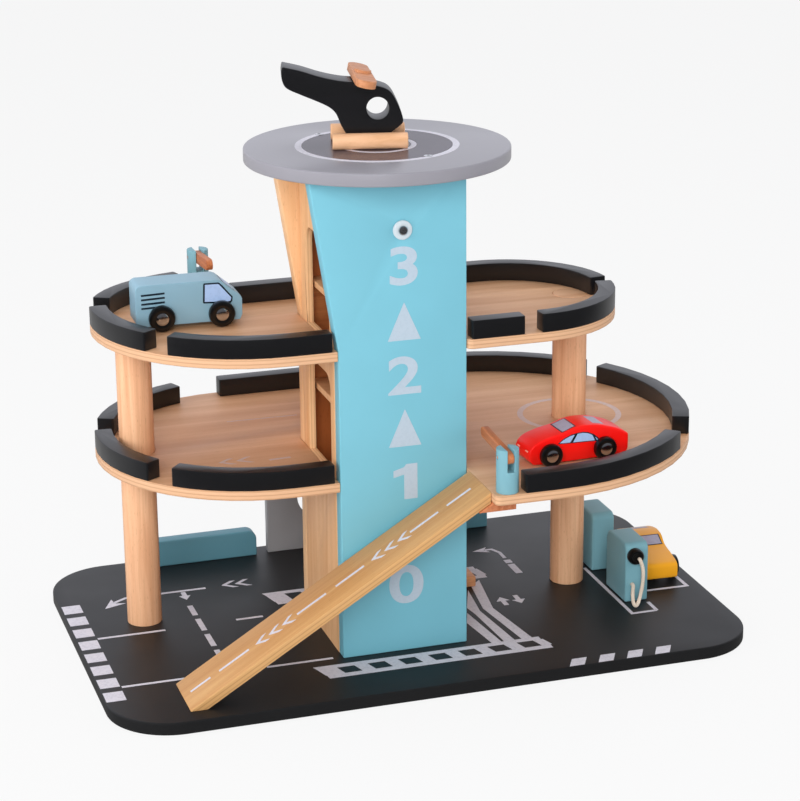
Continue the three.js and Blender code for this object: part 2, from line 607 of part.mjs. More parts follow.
// The winding shaft, the washer and screw on its front end, and the crank on its back end.
function windingGear() {
  const group = new THREE.Group();
  group.position.set(TOWER.x, 0, SHAFT_HEIGHT);
  const pilotRadius = SCREW.shankRadius + FIT_GAP;
  const toBack = (mesh, y) => {
    mesh.rotation.x = -Math.PI / 2;
    mesh.position.y = y;
    return mesh;
  };
  const shaft = cut(
    dowel(SHAFT.radius, CRANK_BACK - TOWER_FRONT),
    dowel(pilotRadius, SCREW.shankLength + FIT_GAP + OVERRUN).translate(0, 0, -OVERRUN),
  );
  const washer = turned([
    [pilotRadius, 0], [WASHER.radius, 0], [WASHER.radius, WASHER.thickness],
    [pilotRadius, WASHER.thickness], [pilotRadius, 0],
  ]);
  const head = SCREW.headHeight;
  const shank = head + FIT_GAP + WASHER.thickness + SCREW.shankLength;
  const screw = turned([
    [0, 0], [SCREW.headRadius - SCREW.edge, 0], [SCREW.headRadius, SCREW.edge], [SCREW.headRadius, head],
    [SCREW.shankRadius, head], [SCREW.shankRadius, shank], [0, shank],
  ]);
  const washerFront = TOWER_FRONT - FIT_GAP - WASHER.thickness;
  const lever = strip([[0, 0], [0, -CRANK.reach]], 2 * CRANK.endRadius);
  lever.holes.push(circle(0, 0, SHAFT.radius + FIT_GAP));
  lever.holes.push(circle(0, -CRANK.reach, CRANK.pinRadius + FIT_GAP));
  const knobStart = CRANK.thickness + FIT_GAP;
  const knob = turned([
    [0, 0], [CRANK.pinRadius, 0], [CRANK.pinRadius, knobStart], [CRANK.knobRadius, knobStart],
    [CRANK.knobRadius, knobStart + CRANK.knobLength], [0, knobStart + CRANK.knobLength],
  ]);
  const handle = toBack(piece('crank_knob', knob, 'beech'), CRANK_FRONT);
  handle.position.z = -CRANK.reach;
  group.add(
    toBack(piece('winding_shaft', shaft, 'beech'), TOWER_FRONT),
    toBack(piece('shaft_washer', washer, 'white'), washerFront),
    toBack(piece('shaft_screw', screw, 'steel'), washerFront - FIT_GAP - head),
    piece('crank_arm', alongY(lever, CRANK.thickness), 'beech', 0, CRANK_FRONT + CRANK.thickness / 2),
    handle,
  );
  return group;
}

// A slotted post with its arm; forward is the direction in Y that the arm points.
function barrier(prefix, place, forward, level) {
  const { radius, height, slotDepth, pinDrop, pinRadius } = POST;
  const group = new THREE.Group();
  group.position.set(place.x, place.y, level);
  const slot = new THREE.BoxGeometry(ARM.width + 2 * FIT_GAP, 2 * radius + 2 * OVERRUN, slotDepth + OVERRUN);
  const across = (size, length) => dowel(size, length).translate(0, 0, -length / 2).rotateY(Math.PI / 2);
  const pinZ = height - pinDrop;
  const post = cut(
    dowel(radius, height),
    slot.translate(0, 0, height - slotDepth + (slotDepth + OVERRUN) / 2),
    across(pinRadius + FIT_GAP, 2 * radius + 2 * OVERRUN).translate(0, 0, pinZ),
  );
  const end = ARM.height / 2;
  const bar = alongX(strip([[end - ARM.tail, 0], [place.reach - end, 0]], ARM.height), ARM.width);
  const arm = piece(
    `${prefix}_barrier_arm`, join(bar, across(pinRadius, 2 * (radius - POST.pinInset))), 'beech',
  );
  arm.rotation.z = forward > 0 ? 0 : Math.PI;
  const tilted = new THREE.Group();
  tilted.position.z = pinZ;
  tilted.rotation.x = forward * THREE.MathUtils.degToRad(place.tilt);
  tilted.add(arm);
  group.add(piece(`${prefix}_barrier_post`, post, 'blue'), tilted);
  return group;
}

// The flat rotor blade with the pin it turns on; its underside's middle is the origin.
function helicopterRotor() {
  const { width, length, thickness, capRadius } = ROTOR;
  const { radius, depth, collarRadius, collarHeight } = ROTOR_PIN;
  const reach = length / 2 - width / 2;
  const blade = board(strip([[0, -reach], [0, reach]], width), thickness).translate(0, 0, collarHeight);
  const bladeMiddle = collarHeight + thickness / 2;
  const capTop = collarHeight + thickness + ROTOR.capHeight;
  const pin = turned([
    [0, -depth], [radius, -depth], [radius, 0], [collarRadius, 0], [collarRadius, bladeMiddle],
    [capRadius, bladeMiddle], [capRadius, capTop], [0, capTop],
  ]);
  return piece('helicopter_rotor', join(blade, pin), 'beech');
}

// The rotor sits on the slope of the outline in front of the cabin's top.
function helicopter() {
  const group = new THREE.Group();
  group.position.set(HELI.x, HELI.y, PAD_TOP);
  group.rotation.z = THREE.MathUtils.degToRad(HELI.turn);
  const place = ([x, z]) => [x * HELI.length - HELI.tail, HELI.lift + z * HELI.height];
  const shape = outline(HELI_OUTLINE_SHARES.map(place));
  shape.holes.push(circle(...place([HELI_HOLE.shareX, HELI_HOLE.shareZ]), HELI_HOLE.radius));
  const [high, low] = HELI_OUTLINE_SHARES.slice(5, 7).map(place);
  const fall = (high[1] - low[1]) / (low[0] - high[0]);
  const rotor = helicopterRotor();
  rotor.position.set(-ROTOR.back, 0, high[1] + fall * (high[0] + ROTOR.back) + FIT_GAP);
  rotor.rotation.set(0, Math.atan(fall), THREE.MathUtils.degToRad(ROTOR.turn), 'YXZ');
  rotor.updateMatrix();
  const bore = dowel(ROTOR_PIN.radius + FIT_GAP, ROTOR_PIN.depth + FIT_GAP + OVERRUN)
    .translate(0, 0, -ROTOR_PIN.depth - FIT_GAP).applyMatrix4(rotor.matrix);
  group.add(piece('helicopter_body', cut(alongY(shape, HELI.thickness), bore), 'black'), rotor);
  const skidY = HELI.thickness / 2 + FIT_GAP + SKID.radius;
  Object.entries({ front: -skidY, rear: skidY }).forEach(([side, y]) => {
    const rod = dowel(SKID.radius, SKID.length).translate(0, 0, -SKID.length / 2).rotateY(Math.PI / 2);
    group.add(piece(`helicopter_${side}_skid`, rod, 'beech', 0, y, SKID.radius));
  });
  return group;
}

// Two wheels and their axle, turned about Y.
function wheelSet(car) {
  const inner = car.width / 2 + WHEEL.sideGap;
  const outer = inner + WHEEL.thickness;
  const [radius, edge, hub] = [car.wheelRadius, WHEEL.edge, WHEEL.hubRadius];
  const half = [
    [AXLE_RADIUS, inner], [radius, inner], [radius, outer - edge], [radius - edge, outer],
    [hub, outer], [hub, outer + WHEEL.hubRise], [0, outer + WHEEL.hubRise],
  ];
  const mirrored = half.map(([size, y]) => [size, -y]).reverse();
  return turned([...mirrored, ...half]).rotateX(-Math.PI / 2);
}

function toyCar(car) {
  const group = new THREE.Group();
  group.position.set(car.x, car.y, car.level + FIT_GAP);
  group.rotation.z = THREE.MathUtils.degToRad(car.turn);
  const shape = outline(car.outlineShares.map(([x, z]) => [
    x * car.length - car.tail, car.groundGap + z * car.height,
  ]));
  const axles = { front: car.wheelbase / 2, rear: -car.wheelbase / 2 };
  Object.values(axles).forEach((x) => shape.holes.push(circle(x, car.wheelRadius, AXLE_RADIUS + FIT_GAP)));
  group.add(piece(`${car.name}_body`, alongY(shape, car.width), car.finish));
  Object.entries(axles).forEach(([end, x]) => {
    group.add(piece(`${car.name}_${end}_wheels`, wheelSet(car), 'wheel', x, 0, car.wheelRadius));
  });
  return group;
}

const garage = new THREE.Group();
garage.add(
  baseBoard(), tower(), helipadDisc(), decks(), columns(), ramps(), lowerRails(), upperRails(),
  rearWall('rear_wall_left', REAR_WALL_X.left), rearWall('rear_wall_right', REAR_WALL_X.right),
  rearSupport(), pump('pump_front', PUMP_FRONT_Y.front), pump('pump_rear', PUMP_FRONT_Y.rear),
  pumpKnob(), pumpHose(), wheelStop(), liftCabin(), liftString(), windingGear(),
  barrier('front', FRONT_BARRIER, 1, LEVEL.lower), barrier('rear', REAR_BARRIER, -1, LEVEL.upper),
  helicopter(), toyCar(VAN), toyCar(RED_CAR), toyCar(YELLOW_CAR),
);

export default garage;
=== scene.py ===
"""Dressed model of a wooden toy parking garage: paint, wood grain, printed markings, wheels and fittings.

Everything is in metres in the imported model's frame: X to the right, Y to the back, Z up.
"""

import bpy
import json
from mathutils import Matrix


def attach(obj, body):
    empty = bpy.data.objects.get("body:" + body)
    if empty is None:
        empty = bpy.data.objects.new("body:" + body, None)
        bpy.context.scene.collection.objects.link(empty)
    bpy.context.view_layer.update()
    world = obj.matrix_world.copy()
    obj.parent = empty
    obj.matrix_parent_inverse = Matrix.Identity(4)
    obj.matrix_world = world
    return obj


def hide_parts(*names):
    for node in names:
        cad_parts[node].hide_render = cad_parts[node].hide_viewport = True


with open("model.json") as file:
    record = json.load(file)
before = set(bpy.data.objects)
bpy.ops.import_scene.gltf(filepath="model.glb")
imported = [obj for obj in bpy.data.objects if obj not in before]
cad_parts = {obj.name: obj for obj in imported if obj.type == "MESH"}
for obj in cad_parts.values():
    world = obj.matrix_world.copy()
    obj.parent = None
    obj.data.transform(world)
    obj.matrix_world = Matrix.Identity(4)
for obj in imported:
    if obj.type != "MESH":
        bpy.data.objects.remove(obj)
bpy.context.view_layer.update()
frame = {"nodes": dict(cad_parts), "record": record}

import json
import logging
import math
from collections.abc import Iterator, Sequence
from contextlib import contextmanager
from dataclasses import dataclass, field
from enum import Enum

import bpy
from mathutils import Matrix, Vector

LOG = logging.getLogger("garage")
MM = 0.001
Point = tuple[float, float]
Place = tuple[float, float, float]
Piece = bpy.types.Object
Socket = bpy.types.NodeSocket

# Levels and places shared with the solids, in millimetres
BASE_TOP = 10.0
LOWER_TOP = 153.0
UPPER_TOP = 255.5
PAD_TOP = 396.0
TOWER_MIDDLE = (-16.0, -33.0)
TOWER_FRONT = -89.5
SHAFT_HEIGHT = 344.0
INK_THICKNESS = 0.1

# Sanded edges: corners flatter than this are shaded smooth and aren't rounded
SMOOTH_DEGREES = 38.0
# The shaft's left wall, between whose faces the back panel goes from bare wood to a painted shade of the
# shaft's inside
SHAFT_WALL_X = (-63.0, -61.0)
# A pixel of the main view is about 0.75 mm wide. Wood fibres, paint's grain, orange peel and cotton
# strands are finer than that in the real toy, and are drawn 0.8 to 0.9 mm wide so that they show.
# How many times longer than wide the wood's bands and fibres are, and the length and width of its flecks
BAND_STRETCH = 22
FIBRE_STRETCH = 45
FLECK_MM = (4.5, 0.8)
# The cell of the wood's grain that shows through paint
PAINT_GRAIN_MM = (30.0, 0.8, 0.8)
# The room under a car's wheels, and between the helicopter and its skids, in millimetres
STANDING_GAP = 0.3
SKID_GAP = 0.3
# The pieces of a printed ring, and of a bend between two points of an outline
RING_PIECES = 96
BEND_PIECES = 5
# The share of the floor's glow, against its lit paper, that the camera sees
CAMERA_GLOW_SHARE = 0.9


def linear(hex_colour: str) -> tuple[float, float, float, float]:
    """Turn an sRGB hex colour to linear red, green, blue and alpha.

    Args:
        hex_colour: A colour such as "#88CADA".

    Returns:
        The four linear channels.
    """
    channels = [int(hex_colour[i:i + 2], 16) / 255 for i in (1, 3, 5)]
    red, green, blue = (c / 12.92 if c <= 0.04045 else ((c + 0.055) / 1.055) ** 2.4 for c in channels)
    return red, green, blue, 1.0


def toned(hex_colour: str, factor: float) -> tuple[float, float, float, float]:
    """Make a colour darker or lighter.

    Args:
        hex_colour: The sRGB colour to start from.
        factor: What its linear channels are multiplied by.

    Returns:
        The four linear channels, none over 1.
    """
    red, green, blue, alpha = linear(hex_colour)
    return min(1.0, red * factor), min(1.0, green * factor), min(1.0, blue * factor), alpha


def add_node(tree: bpy.types.NodeTree, kind: str, inputs: dict | None = None,
             **settings: object) -> bpy.types.Node:
    """Add a shader node with its settings, values and links.

    Args:
        tree: The material's node tree.
        kind: The node's type name.
        inputs: Socket name or index to a value, or to the output socket it is linked from.
        **settings: The node's own properties.

    Returns:
        The new node.
    """
    made = tree.nodes.new(kind)
    for key, value in settings.items():
        setattr(made, key, value)
    for name, value in (inputs or {}).items():
        if isinstance(value, Socket):
            tree.links.new(value, made.inputs[name])
        else:
            made.inputs[name].default_value = value
    return made


class Grain(Enum):
    """The turn, in degrees, that lays a board's grain along X and its thickness along Z."""

    ALONG_X = (0.0, 0.0, 0.0)
    ALONG_Y = (0.0, 0.0, 90.0)
    ALONG_Z = (0.0, 90.0, 0.0)
    UPRIGHT_FRONT = (90.0, 90.0, 0.0)
    DOWN_FRONT_RAMP = (0.0, 31.4, 0.0)
    DOWN_REAR_RAMP = (0.0, -31.4, 0.0)

    def radians(self) -> tuple[float, ...]:
        """Return the turn in radians."""
        return tuple(math.radians(angle) for angle in self.value)


@dataclass(frozen=True)
class Finish:
    """A surface finish, made once as a material."""

    name: str

    def material(self) -> bpy.types.Material:
        """Make the finish's material on its first use.

        Returns:
            The material.
        """
        known = bpy.data.materials.get(self.name)
        if known:
            return known
        made = bpy.data.materials.new(self.name)
        made.use_nodes = True
        tree = made.node_tree
        tree.nodes.clear()
        shader = add_node(tree, "ShaderNodeBsdfPrincipled")
        self.dress(tree, shader)
        add_node(tree, "ShaderNodeOutputMaterial", {"Surface": shader.outputs["BSDF"]})
        return made

    def dress(self, tree: bpy.types.NodeTree, shader: bpy.types.Node) -> None:
        """Add the finish's own nodes.

        Args:
            tree: The material's node tree.
            shader: Its Principled BSDF.
        """
        raise NotImplementedError


@dataclass(frozen=True)
class VarnishedBeech(Finish):
    """Planed beech under clear matt varnish: straight fibres, soft growth bands and short dark flecks."""

    pale: str = "#F3C79B"
    middle: str = "#DDA878"
    dark: str = "#A66F45"
    grain: Grain = Grain.ALONG_X
    fibre_mm: float = 0.9
    band_mm: float = 8.0
    contrast: float = 0.55
    roughness: float = 0.5
    ply_mm: float = 0.0
    # colour multiplied onto the face that closes the shaft: a painted shade; empty for none
    inside: str = ""

    def stretched(self, tree: bpy.types.NodeTree, base: Socket, long_mm: float,
                  wide_mm: float) -> Socket:
        """Scale the grain's coordinates so that one noise cell is that long and wide.

        Args:
            tree: The material's node tree.
            base: Coordinates whose X runs along the grain.
            long_mm: The cell's length along the grain.
            wide_mm: Its width across the grain.

        Returns:
            The scaled coordinates.
        """
        scale = (1 / (long_mm * MM), 1 / (wide_mm * MM), 1 / (wide_mm * MM))
        return add_node(tree, "ShaderNodeMapping", {"Vector": base, "Scale": scale}).outputs["Vector"]

    def dress(self, tree: bpy.types.NodeTree, shader: bpy.types.Node) -> None:
        """Add the wood's figure, flecks and fine bump.

        Args:
            tree: The material's node tree.
            shader: Its Principled BSDF.
        """
        place = add_node(tree, "ShaderNodeTexCoord")
        turned = add_node(tree, "ShaderNodeMapping", {
            "Vector": place.outputs["Object"], "Rotation": self.grain.radians(),
        }).outputs["Vector"]
        bands = add_node(tree, "ShaderNodeTexNoise", {
            "Vector": self.stretched(tree, turned, self.band_mm * BAND_STRETCH, self.band_mm),
            "Scale": 1.0, "Detail": 2.0, "Roughness": 0.5, "Distortion": 0.8,
        })
        fibres = add_node(tree, "ShaderNodeTexNoise", {
            "Vector": self.stretched(tree, turned, self.fibre_mm * FIBRE_STRETCH, self.fibre_mm),
            "Scale": 1.0, "Detail": 3.0, "Roughness": 0.6,
        })
        flecks = add_node(tree, "ShaderNodeTexNoise", {
            "Vector": self.stretched(tree, turned, *FLECK_MM), "Scale": 1.0, "Detail": 1.0, "Roughness": 0.4,
        })
        band_share = add_node(tree, "ShaderNodeMapRange", {
            "Value": bands.outputs["Fac"], "From Min": 0.32, "From Max": 0.68,
        })
        figure = add_node(tree, "ShaderNodeMix", {
            0: band_share.outputs["Result"], 6: linear(self.middle), 7: linear(self.pale),
        }, data_type="RGBA")
        fibre_share = add_node(tree, "ShaderNodeMapRange", {
            "Value": fibres.outputs["Fac"], "From Min": 0.5, "From Max": 0.78, "To Max": self.contrast * 0.5,
        })
        lined = add_node(tree, "ShaderNodeMix", {
            0: fibre_share.outputs["Result"], 6: figure.outputs[2], 7: linear(self.dark),
        }, data_type="RGBA")
        fleck_share = add_node(tree, "ShaderNodeMapRange", {
            "Value": flecks.outputs["Fac"], "From Min": 0.63, "From Max": 0.74, "To Max": self.contrast * 0.5,
        })
        flecked = add_node(tree, "ShaderNodeMix", {
            0: fleck_share.outputs["Result"], 6: lined.outputs[2], 7: linear(self.dark),
        }, data_type="RGBA")
        colour = flecked.outputs[2]
        if self.ply_mm:
            colour = self.with_ply_edges(tree, place, turned, colour)
        # painted shade of the shaft's inside
        if self.inside:
            colour = self.with_painted_shaft_shade(tree, place, colour)
        tree.links.new(colour, shader.inputs["Base Color"])
        sheen = add_node(tree, "ShaderNodeMapRange", {
            "Value": fibres.outputs["Fac"], "To Min": self.roughness - 0.06, "To Max": self.roughness + 0.08,
        })
        tree.links.new(sheen.outputs["Result"], shader.inputs["Roughness"])
        bump = add_node(tree, "ShaderNodeBump", {
            "Height": fibres.outputs["Fac"], "Strength": 0.25, "Distance": 0.05 * MM,
        })
        tree.links.new(bump.outputs["Normal"], shader.inputs["Normal"])

    def with_painted_shaft_shade(self, tree: bpy.types.NodeTree, place: bpy.types.Node,
                         outside: Socket) -> Socket:
        """Paint shade on what looks to the front between the side walls, which on a back panel is the shaft's
        inside.

        Args:
            tree: The material's node tree.
            place: The texture coordinates node.
            outside: The colour of all other faces.

        Returns:
            The colour of both.
        """
        facing = add_node(tree, "ShaderNodeSeparateXYZ", {"Vector": place.outputs["Normal"]}).outputs["Y"]
        forward = add_node(tree, "ShaderNodeMapRange", {"Value": facing, "From Min": -0.6, "From Max": -0.9})
        across = add_node(tree, "ShaderNodeSeparateXYZ", {"Vector": place.outputs["Object"]}).outputs["X"]
        between = add_node(tree, "ShaderNodeMapRange", {
            "Value": across, "From Min": SHAFT_WALL_X[0] * MM, "From Max": SHAFT_WALL_X[1] * MM,
        })
        share = add_node(tree, "ShaderNodeMath", {
            0: forward.outputs["Result"], 1: between.outputs["Result"],
        }, operation="MULTIPLY")
        # the face darkened by the shade colour: painted shade
        darkened_by_shade = add_node(tree, "ShaderNodeMix", {
            0: 1.0, 6: outside, 7: linear(self.inside),
        }, data_type="RGBA", blend_type="MULTIPLY")
        return add_node(tree, "ShaderNodeMix", {
            0: share.outputs[0], 6: outside, 7: darkened_by_shade.outputs[2],
        }, data_type="RGBA").outputs[2]

    def with_ply_edges(self, tree: bpy.types.NodeTree, place: bpy.types.Node, turned: Socket,
                       face: Socket) -> Socket:
        """Show the glued layers on a board's edges.

        Args:
            tree: The material's node tree.
            place: The texture coordinates node.
            turned: Coordinates whose Z runs through the board.
            face: The colour of the board's faces.

        Returns:
            The colour of faces and edges.
        """
        depth = add_node(tree, "ShaderNodeSeparateXYZ", {"Vector": turned}).outputs["Z"]
        layers = add_node(tree, "ShaderNodeMath", {0: depth, 1: math.pi / (self.ply_mm * MM)},
                          operation="MULTIPLY")
        wave = add_node(tree, "ShaderNodeMath", {0: layers.outputs[0]}, operation="SINE")
        share = add_node(tree, "ShaderNodeMapRange", {
            "Value": wave.outputs[0], "From Min": -0.2, "From Max": -0.9, "To Max": 0.38,
        })
        edge = add_node(tree, "ShaderNodeMix", {
            0: share.outputs["Result"], 6: linear(self.pale), 7: linear(self.dark),
        }, data_type="RGBA")
        facing = add_node(tree, "ShaderNodeMapping", {
            "Vector": place.outputs["Normal"], "Rotation": self.grain.radians(),
        }, vector_type="VECTOR")
        through = add_node(tree, "ShaderNodeSeparateXYZ", {"Vector": facing.outputs["Vector"]}).outputs["Z"]
        flat = add_node(tree, "ShaderNodeMath", {0: through}, operation="ABSOLUTE")
        on_face = add_node(tree, "ShaderNodeMapRange", {
            "Value": flat.outputs[0], "From Min": 0.55, "From Max": 0.75,
        })
        return add_node(tree, "ShaderNodeMix", {
            0: on_face.outputs["Result"], 6: edge.outputs[2], 7: face,
        }, data_type="RGBA").outputs[2]


@dataclass(frozen=True)
class SatinPaint(Finish):
    """Sprayed satin enamel on sanded wood: an even colour with the wood's faint grain under it."""

    colour: str = "#88CADA"
    roughness: float = 0.42
    gloss: float = 0.5
    variation: float = 0.05
    grain: Grain = Grain.ALONG_X

    def dress(self, tree: bpy.types.NodeTree, shader: bpy.types.Node) -> None:
        """Add slight cloudiness, sheen variation and the telegraphed grain.

        Args:
            tree: The material's node tree.
            shader: Its Principled BSDF.
        """
        place = add_node(tree, "ShaderNodeTexCoord")
        turned = add_node(tree, "ShaderNodeMapping", {
            "Vector": place.outputs["Object"], "Rotation": self.grain.radians(),
        }).outputs["Vector"]
        clouds = add_node(tree, "ShaderNodeTexNoise", {
            "Vector": turned, "Scale": 1 / (45 * MM), "Detail": 2.0, "Roughness": 0.5,
        })
        colour = add_node(tree, "ShaderNodeMix", {
            0: clouds.outputs["Fac"], 6: toned(self.colour, 1 - self.variation),
            7: toned(self.colour, 1 + self.variation),
        }, data_type="RGBA")
        tree.links.new(colour.outputs[2], shader.inputs["Base Color"])
        grain_scale = tuple(1 / (side * MM) for side in PAINT_GRAIN_MM)
        drawn_out = add_node(tree, "ShaderNodeMapping", {"Vector": turned, "Scale": grain_scale})
        grain = add_node(tree, "ShaderNodeTexNoise", {
            "Vector": drawn_out.outputs["Vector"], "Scale": 1.0, "Detail": 2.0,
        })
        sheen = add_node(tree, "ShaderNodeMapRange", {
            "Value": clouds.outputs["Fac"], "To Min": self.roughness - 0.05, "To Max": self.roughness + 0.05,
        })
        tree.links.new(sheen.outputs["Result"], shader.inputs["Roughness"])
        shader.inputs["Specular IOR Level"].default_value = self.gloss
        bump = add_node(tree, "ShaderNodeBump", {
            "Height": grain.outputs["Fac"], "Strength": 0.15, "Distance": 0.03 * MM,
        })
        tree.links.new(bump.outputs["Normal"], shader.inputs["Normal"])


@dataclass(frozen=True)
class PrintedInk(Finish):
    """Screen-printed ink: opaque and matt, a little thin where the surface below is rough."""

    colour: str = "#D5D3DC"
    thin: str = "#BDBBC6"
    roughness: float = 0.55
    gloss: float = 0.5

    def dress(self, tree: bpy.types.NodeTree, shader: bpy.types.Node) -> None:
        """Add the ink's fine mottling.

        Args:
            tree: The material's node tree.
            shader: Its Principled BSDF.
        """
        place = add_node(tree, "ShaderNodeTexCoord").outputs["Object"]
        mottling = add_node(tree, "ShaderNodeTexNoise", {
            "Vector": place, "Scale": 1 / (2.2 * MM), "Detail": 3.0, "Roughness": 0.6,
        })
        share = add_node(tree, "ShaderNodeMapRange", {
            "Value": mottling.outputs["Fac"], "From Min": 0.45, "From Max": 0.8,
        })
        colour = add_node(tree, "ShaderNodeMix", {
            0: share.outputs["Result"], 6: linear(self.colour), 7: linear(self.thin),
        }, data_type="RGBA")
        tree.links.new(colour.outputs[2], shader.inputs["Base Color"])
        shader.inputs["Roughness"].default_value = self.roughness
        shader.inputs["Specular IOR Level"].default_value = self.gloss


@dataclass(frozen=True)
class MouldedPlastic(Finish):
    """Injection-moulded plastic: a smooth skin with a very fine orange peel."""

    colour: str = "#141416"
    roughness: float = 0.32

    def dress(self, tree: bpy.types.NodeTree, shader: bpy.types.Node) -> None:
        """Add the skin's fine unevenness.

        Args:
            tree: The material's node tree.
            shader: Its Principled BSDF.
        """
        place = add_node(tree, "ShaderNodeTexCoord").outputs["Object"]
        peel = add_node(tree, "ShaderNodeTexNoise", {"Vector": place, "Scale": 1 / (0.9 * MM), "Detail": 2.0})
        colour = add_node(tree, "ShaderNodeMix", {
            0: peel.outputs["Fac"], 6: toned(self.colour, 0.92), 7: toned(self.colour, 1.08),
        }, data_type="RGBA")
        tree.links.new(colour.outputs[2], shader.inputs["Base Color"])
        shader.inputs["Roughness"].default_value = self.roughness
        bump = add_node(tree, "ShaderNodeBump", {
            "Height": peel.outputs["Fac"], "Strength": 0.1, "Distance": 0.02 * MM,
        })
        tree.links.new(bump.outputs["Normal"], shader.inputs["Normal"])


@dataclass(frozen=True)
class PressedSteel(Finish):
    """Nickel-plated pressed steel: bright, with faint handling marks in its gloss."""

    colour: str = "#C9C9CC"
    roughness: float = 0.16

    def dress(self, tree: bpy.types.NodeTree, shader: bpy.types.Node) -> None:
        """Add uneven gloss to the metal.

        Args:
            tree: The material's node tree.
            shader: Its Principled BSDF.
        """
        place = add_node(tree, "ShaderNodeTexCoord").outputs["Object"]
        marks = add_node(tree, "ShaderNodeTexNoise", {
            "Vector": place, "Scale": 1 / (1.5 * MM), "Detail": 3.0,
        })
        gloss = add_node(tree, "ShaderNodeMapRange", {
            "Value": marks.outputs["Fac"], "To Min": self.roughness - 0.06, "To Max": self.roughness + 0.1,
        })
        tree.links.new(gloss.outputs["Result"], shader.inputs["Roughness"])
        tint = add_node(tree, "ShaderNodeMix", {
            0: marks.outputs["Fac"], 6: toned(self.colour, 0.94), 7: toned(self.colour, 1.06),
        }, data_type="RGBA")
        tree.links.new(tint.outputs[2], shader.inputs["Base Color"])
        shader.inputs["Metallic"].default_value = 1.0


@dataclass(frozen=True)
class BraidedCord(Finish):
    """Natural cotton cord: pale, dry and crossed by the braid's strands."""

    colour: str = "#E9DCCB"
    shade: str = "#B59C84"
    strand_mm: float = 0.9

    def dress(self, tree: bpy.types.NodeTree, shader: bpy.types.Node) -> None:
        """Add the braid's dark joints as slanted bands.

        Args:
            tree: The material's node tree.
            shader: Its Principled BSDF.
        """
        place = add_node(tree, "ShaderNodeTexCoord").outputs["Object"]
        leaned = add_node(tree, "ShaderNodeMapping", {"Vector": place, "Rotation": (0.6, 0.5, 0.3)})
        strands = add_node(tree, "ShaderNodeTexWave", {
            "Vector": leaned.outputs["Vector"], "Scale": 0.5 / (self.strand_mm * MM), "Distortion": 1.5,
            "Detail": 1.0,
        }, bands_direction="Z")
        share = add_node(tree, "ShaderNodeMapRange", {
            "Value": strands.outputs["Fac"], "From Min": 0.45, "From Max": 0.0, "To Max": 0.7,
        })
        colour = add_node(tree, "ShaderNodeMix", {
            0: share.outputs["Result"], 6: linear(self.colour), 7: linear(self.shade),
        }, data_type="RGBA")
        tree.links.new(colour.outputs[2], shader.inputs["Base Color"])
        shader.inputs["Roughness"].default_value = 0.85
        bump = add_node(tree, "ShaderNodeBump", {
            "Height": strands.outputs["Fac"], "Strength": 0.4, "Distance": 0.2 * MM,
        })
        tree.links.new(bump.outputs["Normal"], shader.inputs["Normal"])


# light blue satin enamel of the tower's front: an even, soft sheen with faint upright grain
BLUE = SatinPaint("light_blue_enamel", colour="#74B6C7", roughness=0.5, grain=Grain.UPRIGHT_FRONT)
# greyer blue enamel of pumps and posts: the grain shows a little through thin paint
SMALL_BLUE = SatinPaint("pump_and_post_enamel", colour="#76A6B2", roughness=0.46, grain=Grain.UPRIGHT_FRONT)
# the van's blue-grey enamel: a smoother sheen than the tower's
VAN_BLUE = SatinPaint("van_enamel", colour="#86ABBD", roughness=0.42, variation=0.03)
# blue enamel of the low rear walls, darkened below the tower's blue: a painted shade of their place at the
# back under the deck
SHADED_WALL_BLUE = SatinPaint("wall_enamel_painted_shade", colour="#5C8E9E", roughness=0.5)
# black satin enamel of rails and helicopter: tops catch a grey sheen, faces stay deep
BLACK = SatinPaint("black_enamel", colour="#141416", roughness=0.35)
# black enamel of the ground board: duller, with a weak reflection of the back
BASE_BLACK = SatinPaint("black_base_enamel", colour="#1A1A1B", roughness=0.46, gloss=0.36)
# silver grey enamel of the pad: a broad, even sheen
PAD_GREY = SatinPaint("silver_grey_enamel", colour="#8E8C93", roughness=0.3)
# dark grey ink of the pad's middle: a thin film that takes some shine
PAD_INNER = PrintedInk("pad_centre_ink", colour="#4C4651", thin="#534D58", roughness=0.26, gloss=0.2)
# grey enamel of the rear support panel: flat and even
DARK_GREY = SatinPaint("grey_panel_enamel", colour="#8F8E90", roughness=0.45)
# bright red enamel of the sports car: saturated, with a soft highlight
RED = SatinPaint("red_enamel", colour="#FF1510", roughness=0.36, variation=0.02)
# warm yellow enamel of the small car, slightly uneven over the wood
YELLOW = SatinPaint("yellow_enamel", colour="#F0A51E", roughness=0.36, variation=0.04)
# varnished plywood of the decks: warm, grain along the length
DECK_WOOD = VarnishedBeech("deck_plywood", pale="#D9AC86", middle="#C8966E", dark="#9A6841",
                           grain=Grain.ALONG_X, band_mm=16.0, contrast=0.4, ply_mm=1.5)
# paler plywood of the tower's sides: thin upright grain
SIDE_WOOD = VarnishedBeech("tower_plywood", pale="#EDBE8E", middle="#DDA673", dark="#A8703F",
                           grain=Grain.ALONG_Z, band_mm=10.0, contrast=0.45, ply_mm=1.25)
# plywood of the lift's floor and roof: shaded, low contrast
CABIN_WOOD = VarnishedBeech("cabin_plywood", pale="#E6B688", middle="#D09E70", dark="#94603A", band_mm=9.0)
# plywood of the lift's walls in dark brown tones: a painted shade of the shaft
SHADED_CABIN_WALL_WOOD = VarnishedBeech("cabin_wall_plywood_painted_shade", pale="#B47040", middle="#96552C", dark="#603216",
                                 band_mm=9.0)
# plywood of the front ramp: golden, with its glued layers on the edges
RAMP_WOOD = VarnishedBeech("front_ramp_plywood", pale="#CFA069", middle="#C08C55", dark="#94602F",
                           grain=Grain.DOWN_FRONT_RAMP, band_mm=10.0, contrast=0.5, ply_mm=1.5)
# plywood of the rear ramp: a paler sheet of the same kind
REAR_RAMP_WOOD = VarnishedBeech("rear_ramp_plywood", pale="#E9B070", middle="#D8995A", dark="#A86C38",
                                grain=Grain.DOWN_REAR_RAMP, band_mm=10.0, contrast=0.5, ply_mm=1.5)
